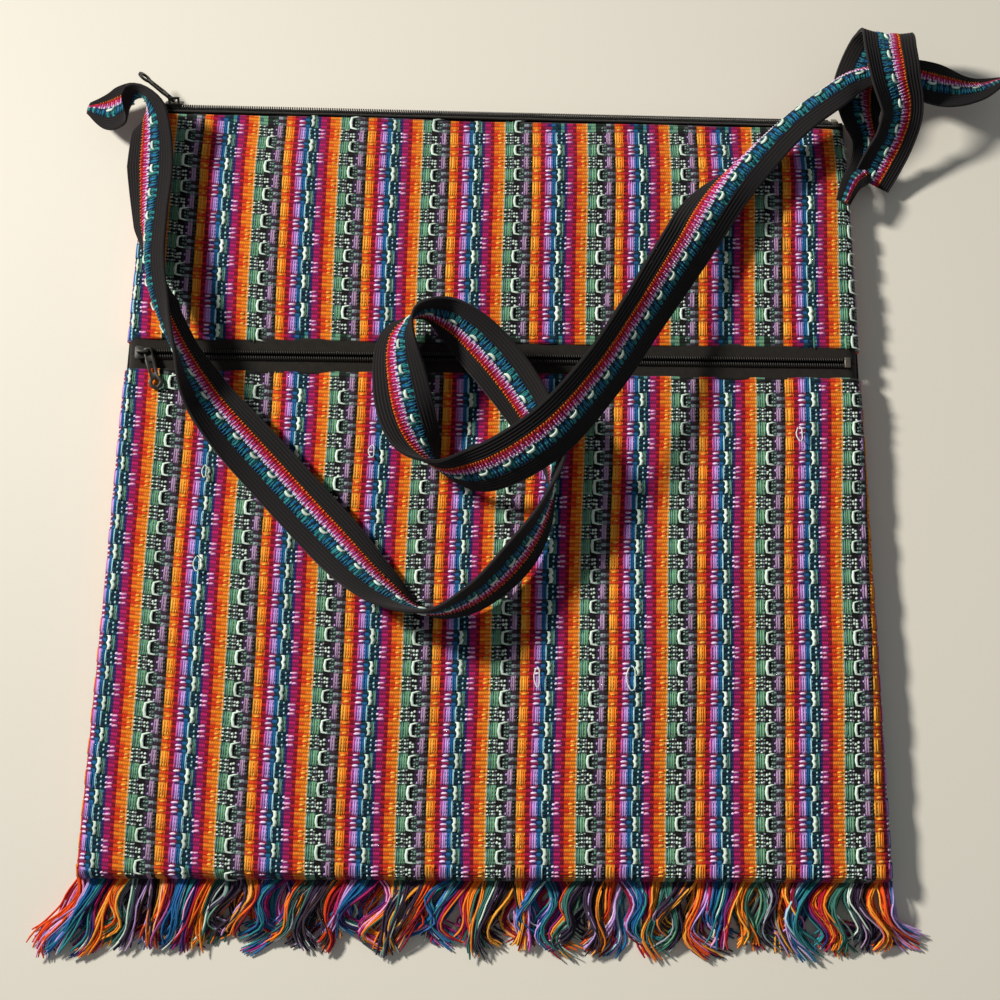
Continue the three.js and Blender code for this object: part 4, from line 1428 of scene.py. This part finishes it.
def refined(node, width):
    """A CAD piece with its faces merged and its edges softened."""
    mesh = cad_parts[node].data.copy()
    flat = math.radians(1)
    with opened(mesh) as work:
        bmesh.ops.remove_doubles(work, verts=work.verts, dist=1e-6)
        bmesh.ops.dissolve_limit(work, angle_limit=flat, verts=work.verts, edges=work.edges)
    carrier = bpy.data.objects.new("carrier", mesh)
    bpy.context.scene.collection.objects.link(carrier)
    bevel = carrier.modifiers.new("soft_edges", "BEVEL")
    bevel.width = width * MM
    bevel.segments = 2
    bevel.limit_method = "ANGLE"
    bevel.angle_limit = math.radians(25)
    graph = bpy.context.evaluated_depsgraph_get()
    result = bpy.data.meshes.new_from_object(carrier.evaluated_get(graph))
    bpy.data.objects.remove(carrier)
    result.shade_smooth()
    result.set_sharp_from_angle(angle=math.radians(40))
    return result


# Operators

class BagOperator:
    """Shared by the operators that build the bag's pieces."""

    bl_options = {"REGISTER", "UNDO"}

    def execute(self, context):
        looks = context.scene.bag_looks
        self.build(looks, BagForm(looks.sizes))
        return {"FINISHED"}


class BAG_OT_front(BagOperator, bpy.types.Operator):
    """Weave the two front panels with their raised yarns"""

    bl_idname = "bag.front"
    bl_label = "Front panels"

    def build(self, looks, form):
        half = form.pocket_opening / 2
        woven = woven_finish("striped_cloth", looks, CLOTH_DRAFT, ragged=0.016, stitches=40.0)
        raised = yarn_finish("cloth_yarns")
        tree = raised_yarns_tree()
        rng = np.random.default_rng(looks.weave.seed)
        low = (form.low_left, form.low_right, *form.zip_pair(-half))
        high = (*form.zip_pair(half), form.top_left, form.top_right)
        for name, corners, lower, flat in (
            ("front_lower", low, True, (0.38, 0.248)),
            ("front_upper", high, False, (0.365, 0.115)),
        ):
            cloth = Cloth(form, looks, corners, lower)
            nodes = [name + "_panel"]
            piece = add_piece(name + "_cloth", cloth.mesh(name), woven, "bag", nodes)
            mesh = raised_mesh(cloth.floats(looks, rng), tree, raised)
            yarns = add_piece(name + "_yarns", mesh, raised, "bag")


class BAG_OT_back(BagOperator, bpy.types.Operator):
    """Weave the back panel that the bag lies on"""

    bl_idname = "bag.back"
    bl_label = "Back panel"

    def build(self, looks, form):
        reach = TOP_ZIP_OFFSET + 2 * TOP_TAPE * math.cos(TOP_ZIP_TILT)
        high_left = (form.top_left[0], form.top_left[1] + reach)
        high_right = (form.top_right[0], form.top_right[1] + reach)
        corners = (form.low_right, form.low_left, high_right, high_left)
        weave = looks.weave
        tall = (high_left[1] - form.low_left[1]) / (weave.repeat_height / MM)
        columns, rib_rows = 46, 3
        us, vs = np.linspace(0, 1, columns), np.linspace(0, 1, int(tall * weave.picks * rib_rows))
        grid_u, grid_v = np.meshgrid(us, vs, indexing="ij")
        x, y, side = patch(corners, grid_u, grid_v)
        along = (y - weave.row_start / MM) / (weave.repeat_height / MM)
        across = (-x - weave.stripe_start / MM) / (weave.repeat_width / MM)
        ribs = 0.3 * (1 - abs(np.sin(np.pi * along * weave.picks)))
        round_off = 0.5 * (1 - rounded(side, 1.5))
        outer = np.stack((x, y, ribs + round_off), -1)
        steps = np.linspace(0, 1, 30)
        flat_u, flat_v = np.meshgrid(steps, steps, indexing="ij")
        x, y, _ = patch(corners, flat_u, flat_v)
        inner = np.stack((x, y, np.full(x.shape, form.cloth)), -1)
        points, faces = closed_sheet(outer, us, vs, inner, steps, steps)
        # The inside is painted as one dark stripe, a painted shade, so that nothing bright shows
        # through the top zip
        stripes = np.concatenate((across.ravel(), np.full(x.size, SHADED_INSIDE_STRIPE)))
        rows = (points[:, 1] - weave.row_start / MM) / (weave.repeat_height / MM)
        mesh = new_mesh("back", points, faces, np.stack((stripes, rows), -1))
        woven = woven_finish("back_cloth", looks, CLOTH_DRAFT, ragged=0.016, stitches=40.0)
        piece = add_piece("back_cloth", mesh, woven, "bag", ["back_panel"])


class BAG_OT_lining(BagOperator, bpy.types.Operator):
    """Hang the pocket lining between the two spaces of the bag"""

    bl_idname = "bag.lining"
    bl_label = "Pocket lining"

    def build(self, looks, form):
        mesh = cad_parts["pocket_lining"].data.copy()
        with opened(mesh) as work:
            bmesh.ops.remove_doubles(work, verts=work.verts, dist=1e-6)
            bmesh.ops.subdivide_edges(work, edges=work.edges, cuts=2, use_grid_fill=True, smooth=0.2)
        mesh.shade_smooth()
        spots = np.empty(len(mesh.vertices) * 3)
        mesh.vertices.foreach_get("co", spots)
        set_uv(mesh, spots.reshape(-1, 3)[:, :2] / MM)
        finish = tape_finish("lining_cloth", "2C2A30", scale=4.0)
        piece = add_piece("pocket_lining_cloth", mesh, finish, "bag", ["pocket_lining"])


class BAG_OT_pocket_zip(BagOperator, bpy.types.Operator):
    """Set the pocket zip with its tapes, coils, slider and pull"""

    bl_idname = "bag.pocket_zip"
    bl_label = "Pocket zip"

    def build(self, looks, form):
        matrix, size = form.pocket_frame()
        reach = form.pocket_opening / 2 + TAPE_TUCK
        depth = form.front_top - form.cloth - 2.0

        def fall(x):
            """How far the tapes drop towards the side seams."""
            edge = np.minimum(x, size - x)
            return depth * (1 - rounded(edge - 1.6, form.edge_round - 1.0))

        tape = tape_finish("zip_tape", "2C2925", scale=7.0)
        sides = ((TAPE_GAP, reach), (-reach, -TAPE_GAP))
        mesh = tape_mesh("front_tapes", sides, matrix, size, ends=2.0, drop=fall)
        nodes = ["front_zip_tape_upper", "front_zip_tape_lower"]
        piece = add_piece("front_zip_tapes", mesh, tape, "bag", nodes)
        teeth = plain_finish("zip_coil", "26241F", {"Roughness": 0.45}, grain=900.0)
        first, last = form.edge_round + 0.5, size - form.edge_round - 3.4
        mesh = zip_teeth(first, last, matrix, teeth)
        nodes = ["front_zip_coil_upper", "front_zip_coil_lower"]
        add_piece("front_zip_coils", mesh, teeth, "bag", nodes)
        add_metal("front")


class BAG_OT_top_zip(BagOperator, bpy.types.Operator):
    """Set the top zip with its tapes, coils, slider and pull"""

    bl_idname = "bag.top_zip"
    bl_label = "Top zip"

    def build(self, looks, form):
        matrix, size = form.top_frame()
        tape = tape_finish("top_zip_tape", "2C2925", scale=7.0)
        sides = ((-TOP_TAPE, -TAPE_GAP), (TAPE_GAP, TOP_TAPE))
        mesh = tape_mesh("top_tapes", sides, matrix, size, ends=3.0, drop=np.zeros_like)
        nodes = ["top_zip_tape_front", "top_zip_tape_back"]
        add_piece("top_zip_tapes", mesh, tape, "bag", nodes)
        teeth = plain_finish("top_zip_coil", "191816", {"Roughness": 0.7}, grain=900.0)
        first, last = 4.0, size - 7.0
        mesh = zip_teeth(first, last, matrix, teeth)
        nodes = ["top_zip_coil_front", "top_zip_coil_back"]
        add_piece("top_zip_coils", mesh, teeth, "bag", nodes)
        add_metal("top")


def add_metal(name):
    """The slider, pull and end stop of a zip, with softened edges."""
    dark = {"Roughness": 0.42, "Metallic": 0.55}
    bright = {"Roughness": 0.38, "Metallic": 0.9}
    enamel = plain_finish(name + "_zip_enamel", "23211E", dark, grain=260.0)
    nickel = plain_finish(name + "_zip_stop", "8C867A", bright, grain=400.0)
    for part, body, coat in (
        ("slider", name + "_slider", enamel),
        ("pull", name + "_pull", enamel),
        ("end_stop", "bag", nickel),
    ):
        node = name + "_zip_" + part
        add_piece(node + "_metal", refined(node, METAL_ROUNDING), coat, body, [node])


class BAG_OT_straps(BagOperator, bpy.types.Operator):
    """Lay the shoulder strap and knot it to the tie strap"""

    bl_idname = "bag.straps"
    bl_label = "Straps"

    def build(self, looks, form):
        strap = looks.strap
        values = {"ragged": 0.004, "stitches": 26.0, "edge_ribs": 17.6}
        woven = woven_finish("strap_band", looks, STRAP_DRAFT, **values)
        raised = yarn_finish("strap_yarns")
        tree = raised_yarns_tree()
        rng = np.random.default_rng(looks.weave.seed + 1)
        for name, ribbon, flip in (
            ("shoulder_strap", shoulder_ribbon(form, step=1.7), False),
            ("tie_strap", tie_ribbon(form, step=1.2), True),
        ):
            mesh = band_mesh(name, ribbon, strap, flip)
            piece = add_piece(name + "_band", mesh, woven, "bag", [name])
            mesh = raised_mesh(band_floats(looks, ribbon, strap, flip, rng), tree, raised)
            yarns = add_piece(name + "_yarns", mesh, raised, "bag")


class BAG_OT_fringe(BagOperator, bpy.types.Operator):
    """Comb out the yarn ends along the bottom seam"""

    bl_idname = "bag.fringe"
    bl_label = "Fringe"

    def build(self, looks, form):
        raised = yarn_finish("fringe_yarns")
        tree = strands_tree()
        for name, low, high, strands in (
            ("front_fringe", 2.4, 9.0, looks.fringe.strands),
            ("back_fringe", 0.8, 3.6, looks.fringe.strands * 2 // 3),
        ):
            rng = np.random.default_rng(looks.fringe.seed + strands)
            seeds = fringe_paths(looks, form, rng, low, high, strands)
            mesh = grown(seeds, tree, {"Sides": 4, "Finish": raised})
            add_piece(name + "_yarns", mesh, raised, "bag", [name])


# Warp colours that hang out below, and where each ends in the repeat
FRINGE_DRAFT = (
    (0.06, ("amber", "tangerine", "peach")),
    (0.12, ("ember", "scarlet", "tangerine")),
    (0.17, ("wine", "raspberry", "rose")),
    (0.23, ("orchid", "lilac", "pink")),
    (0.33, ("steel", "cobalt", "steel", "glass")),
    (0.40, ("teal", "steel", "mint")),
    (0.45, ("indigo", "orchid", "violet")),
    (0.50, ("magenta", "raspberry", "rose")),
    (0.55, ("red", "scarlet", "crimson")),
    (0.66, ("tangerine", "ember", "amber")),
    (0.77, ("pine", "mint", "ash", "fern")),
    (0.85, ("plum", "mint", "ash", "ink")),
    (0.95, ("plum", "mauve", "orchid")),
    (1.00, ("bark", "ash", "tangerine")),
)


def fringe_tone(looks, share, rng):
    """A yarn colour of the stripe that ends at a place in the repeat, mostly its first one."""
    share = (share + rng.normal(0, 0.02)) % 1.0
    names = next(names for end, names in FRINGE_DRAFT if share <= end)
    pick = int(rng.integers(0, len(names))) if rng.uniform() < 0.4 else 0
    return np.array(yarn(looks, names[pick])[:3])


def fringe_paths(looks, form, rng, low, high, strands):
    """Edge paths of the loose yarn ends, with their thickness and tint."""
    fringe, weave = looks.fringe, looks.weave
    left, right = np.array(form.low_left), np.array(form.low_right)
    steps = 11
    t = np.linspace(0, 1, steps)
    taper = np.interp(t, [0, 0.9, 1], [1, 1.1, 0.7])
    pitch = (right[0] - left[0]) / fringe.bunches
    points, edges, tints, thicks = [], [], [], []
    for bunch in range(fringe.bunches):
        share = (bunch + 0.5) / fringe.bunches
        root = left[0] + (right[0] - left[0]) * share
        # The bunches lean to the left, less so on the right, and flare out at both ends
        sweep = -7.0 * (1 - smoothstep(share, 0.5, 0.8)) + 2.0 * share
        sweep = sweep + rng.normal(0, 4.5) + 13 * (2 * share - 1) ** 9
        bow = rng.normal(-2.5, 3.0)
        curl = rng.normal(0, 3.0)
        reach = fringe.reach / MM * rng.uniform(0.66, 1.0)
        gather = rng.uniform(0.45, 0.85)
        lift = rng.uniform(0.5, 1.0) * (high - low)
        for _ in range(strands):
            offset = rng.uniform(-0.7, 0.7) * pitch
            x0 = np.clip(root + offset, left[0] + 0.6, right[0] - 0.6)
            y0 = left[1] + (right[1] - left[1]) * (x0 - left[0]) / (right[0] - left[0]) + 0.8
            end = reach * rng.uniform(0.84, 1.08)
            # Each yarn is drawn into its bunch, and bows, curls and waves on its way down
            drawn = np.sin(np.pi * 0.6 * t) * gather
            flare = rng.normal(0, 2.4) * t**2.5
            wave = 0.45 * np.sin(rng.uniform(7, 13) * t + rng.uniform(0, 6)) * np.minimum(1, 3 * t)
            x = x0 - offset * drawn + sweep * t**1.5 + bow * np.sin(np.pi * t) + flare + wave
            x = x + curl * (np.sin(2 * np.pi * t) * 0.8 + 1.6 * t**3)
            y = y0 - end * (t + 0.06 * np.sin(np.pi * t)) + 0.3 * np.cos(9 * t + rng.uniform(0, 6))
            # It rises from the seam, and sinks to the table without going through
            level = rng.uniform(0.15, 1.0) * lift
            z = low + level * np.sin(np.pi * np.minimum(1.0, 0.12 + 0.86 * t) ** 0.85)
            z = z + 0.35 * np.sin(6 * t + rng.uniform(0, 6)) * t
            z = np.maximum(z, 0.6 + 0.3 * rng.uniform())
            place = x0 - weave.stripe_start / MM - weave.stripe_lean * (y0 - STRIPE_LEVEL)
            tone = fringe_tone(looks, place / (weave.repeat_width / MM) % 1.0, rng)
            tone = np.clip(tone * rng.uniform(0.85, 1.15), 0, 1)
            first = len(points)
            points += list(zip(x, y, z))
            edges += [(first + k, first + k + 1) for k in range(steps - 1)]
            tints += [(*tone, 1.0)] * steps
            thicks += list(fringe.strand / 2 * rng.uniform(0.85, 1.2) * taper)
    return paths_mesh(points, edges, tints, thicks)


class BAG_OT_threads(BagOperator, bpy.types.Operator):
    """Leave the loose loops that stand off the cloth"""

    bl_idname = "bag.threads"
    bl_label = "Loose threads"

    def build(self, looks, form):
        raised = yarn_finish("loose_threads")
        rng = np.random.default_rng(looks.weave.seed + 2)
        points, edges, tints, thicks = [], [], [], []
        for x, y, span, wide, name in LOOSE_LOOPS:
            t = np.linspace(0, 1, 14)
            turn = 2 * np.pi * t * 0.92
            lift = form.front_top + form.crown * 0.7 + 0.5 + 1.3 * np.sin(np.pi * t)
            path_x = x + wide * np.sin(turn) * (1 + 0.2 * np.sin(3 * turn))
            path_y = y + span * (np.cos(turn) - 1) / 2 + 0.6 * rng.normal()
            first = len(points)
            points += list(zip(path_x, path_y, lift))
            edges += [(first + k, first + k + 1) for k in range(len(t) - 1)]
            tints += [yarn(looks, name)] * len(t)
            thicks += [LOOP_RADIUS * MM] * len(t)
        seeds = paths_mesh(points, edges, tints, thicks)
        mesh = grown(seeds, strands_tree(), {"Sides": 6, "Finish": raised})
        add_piece("loose_threads", mesh, raised, "bag")


class BAG_OT_stage(BagOperator, bpy.types.Operator):
    """Set the table, the lamp and the camera"""

    bl_idname = "bag.stage"
    bl_label = "Table, light and camera"

    def build(self, looks, form):
        stage = looks.stage
        scene = bpy.context.scene
        ways = ((-1, -1), (1, -1), (1, 1), (-1, 1))
        corners = [(x * TABLE_REACH, y * TABLE_REACH, TABLE_LEVEL) for x, y in ways]
        mesh = new_mesh("table", corners, [[0, 1, 2, 3]])
        finish = Finish("table_top", {"Roughness": 0.7, "Specular IOR Level": 0.25})
        cloud = finish.place().noise(3.0, 3.0)
        finish.paint((*stage.table, 1.0), 0.96 + cloud * 0.08)
        mesh.materials.append(finish.material)
        table = bpy.data.objects.new("table", mesh)
        scene.collection.objects.link(table)
        lamp = bpy.data.lights.new("key", "AREA")
        lamp.shape = "DISK"
        lamp.size = LAMP_SIZE
        lamp.energy = stage.key
        lamp.color = LAMP_COLOUR
        lamp.use_nodes = True
        tree = lamp.node_tree
        glow = tree.nodes["Emission"]
        even = tree.nodes.new("ShaderNodeLightFalloff")
        even.inputs["Strength"].default_value = 1.0
        tree.links.new(even.outputs["Constant"], glow.inputs["Strength"])
        key = bpy.data.objects.new("key", lamp)
        key.location = LAMP_PLACE
        beam = Vector(LAMP_AIM) - key.location
        key.rotation_euler = beam.to_track_quat("-Z", "Y").to_euler()
        scene.collection.objects.link(key)
        world = bpy.data.worlds.new("room")
        world.use_nodes = True
        around = world.node_tree.nodes["Background"]
        around.inputs["Color"].default_value = ROOM_COLOUR
        around.inputs["Strength"].default_value = stage.fill
        scene.world = world
        camera = bpy.data.cameras.new("view")
        camera.sensor_fit = "HORIZONTAL"
        camera.angle = stage.field
        camera.clip_start = 0.01
        eye = bpy.data.objects.new("view", camera)
        sight = Vector((0, math.sin(stage.tilt), -math.cos(stage.tilt)))
        eye.location = Vector(CAMERA_AIM) - sight * stage.distance
        eye.rotation_euler = sight.to_track_quat("-Z", "Y").to_euler()
        scene.collection.objects.link(eye)
        scene.camera = eye
        scene.view_settings.view_transform = "Standard"


class BAG_PT_panel(bpy.types.Panel):
    """Lists the bag's operators and its main sizes"""

    bl_idname = "BAG_PT_panel"
    bl_label = "Striped woven bag"
    bl_space_type = "VIEW_3D"
    bl_region_type = "UI"
    bl_category = "Bag"

    def draw(self, context):
        for operator in OPERATORS:
            self.layout.operator(operator.bl_idname)
        looks = context.scene.bag_looks
        for group in (looks.sizes, looks.weave, looks.strap, looks.fringe, looks.stage, looks.yarns):
            column = self.layout.column(align=True)
            for name in group.__annotations__:
                column.prop(group, name)


SETTINGS = (
    BagSizes,
    WeaveSettings,
    StrapSettings,
    FringeSettings,
    StageSettings,
    YarnColours,
    BagLooks,
)
OPERATORS = (
    BAG_OT_back,
    BAG_OT_lining,
    BAG_OT_pocket_zip,
    BAG_OT_top_zip,
    BAG_OT_front,
    BAG_OT_straps,
    BAG_OT_fringe,
    BAG_OT_threads,
    BAG_OT_stage,
)
CLASSES = (*SETTINGS, *OPERATORS, BAG_PT_panel)


def register():
    for kind in CLASSES:
        bpy.utils.register_class(kind)
    bpy.types.Scene.bag_looks = PointerProperty(type=BagLooks)


def unregister():
    del bpy.types.Scene.bag_looks
    for kind in reversed(CLASSES):
        bpy.utils.unregister_class(kind)


def main():
    register()
    for operator in OPERATORS:
        group, name = operator.bl_idname.split(".")
        getattr(getattr(bpy.ops, group), name)()


if __name__ == "__main__":
    main()
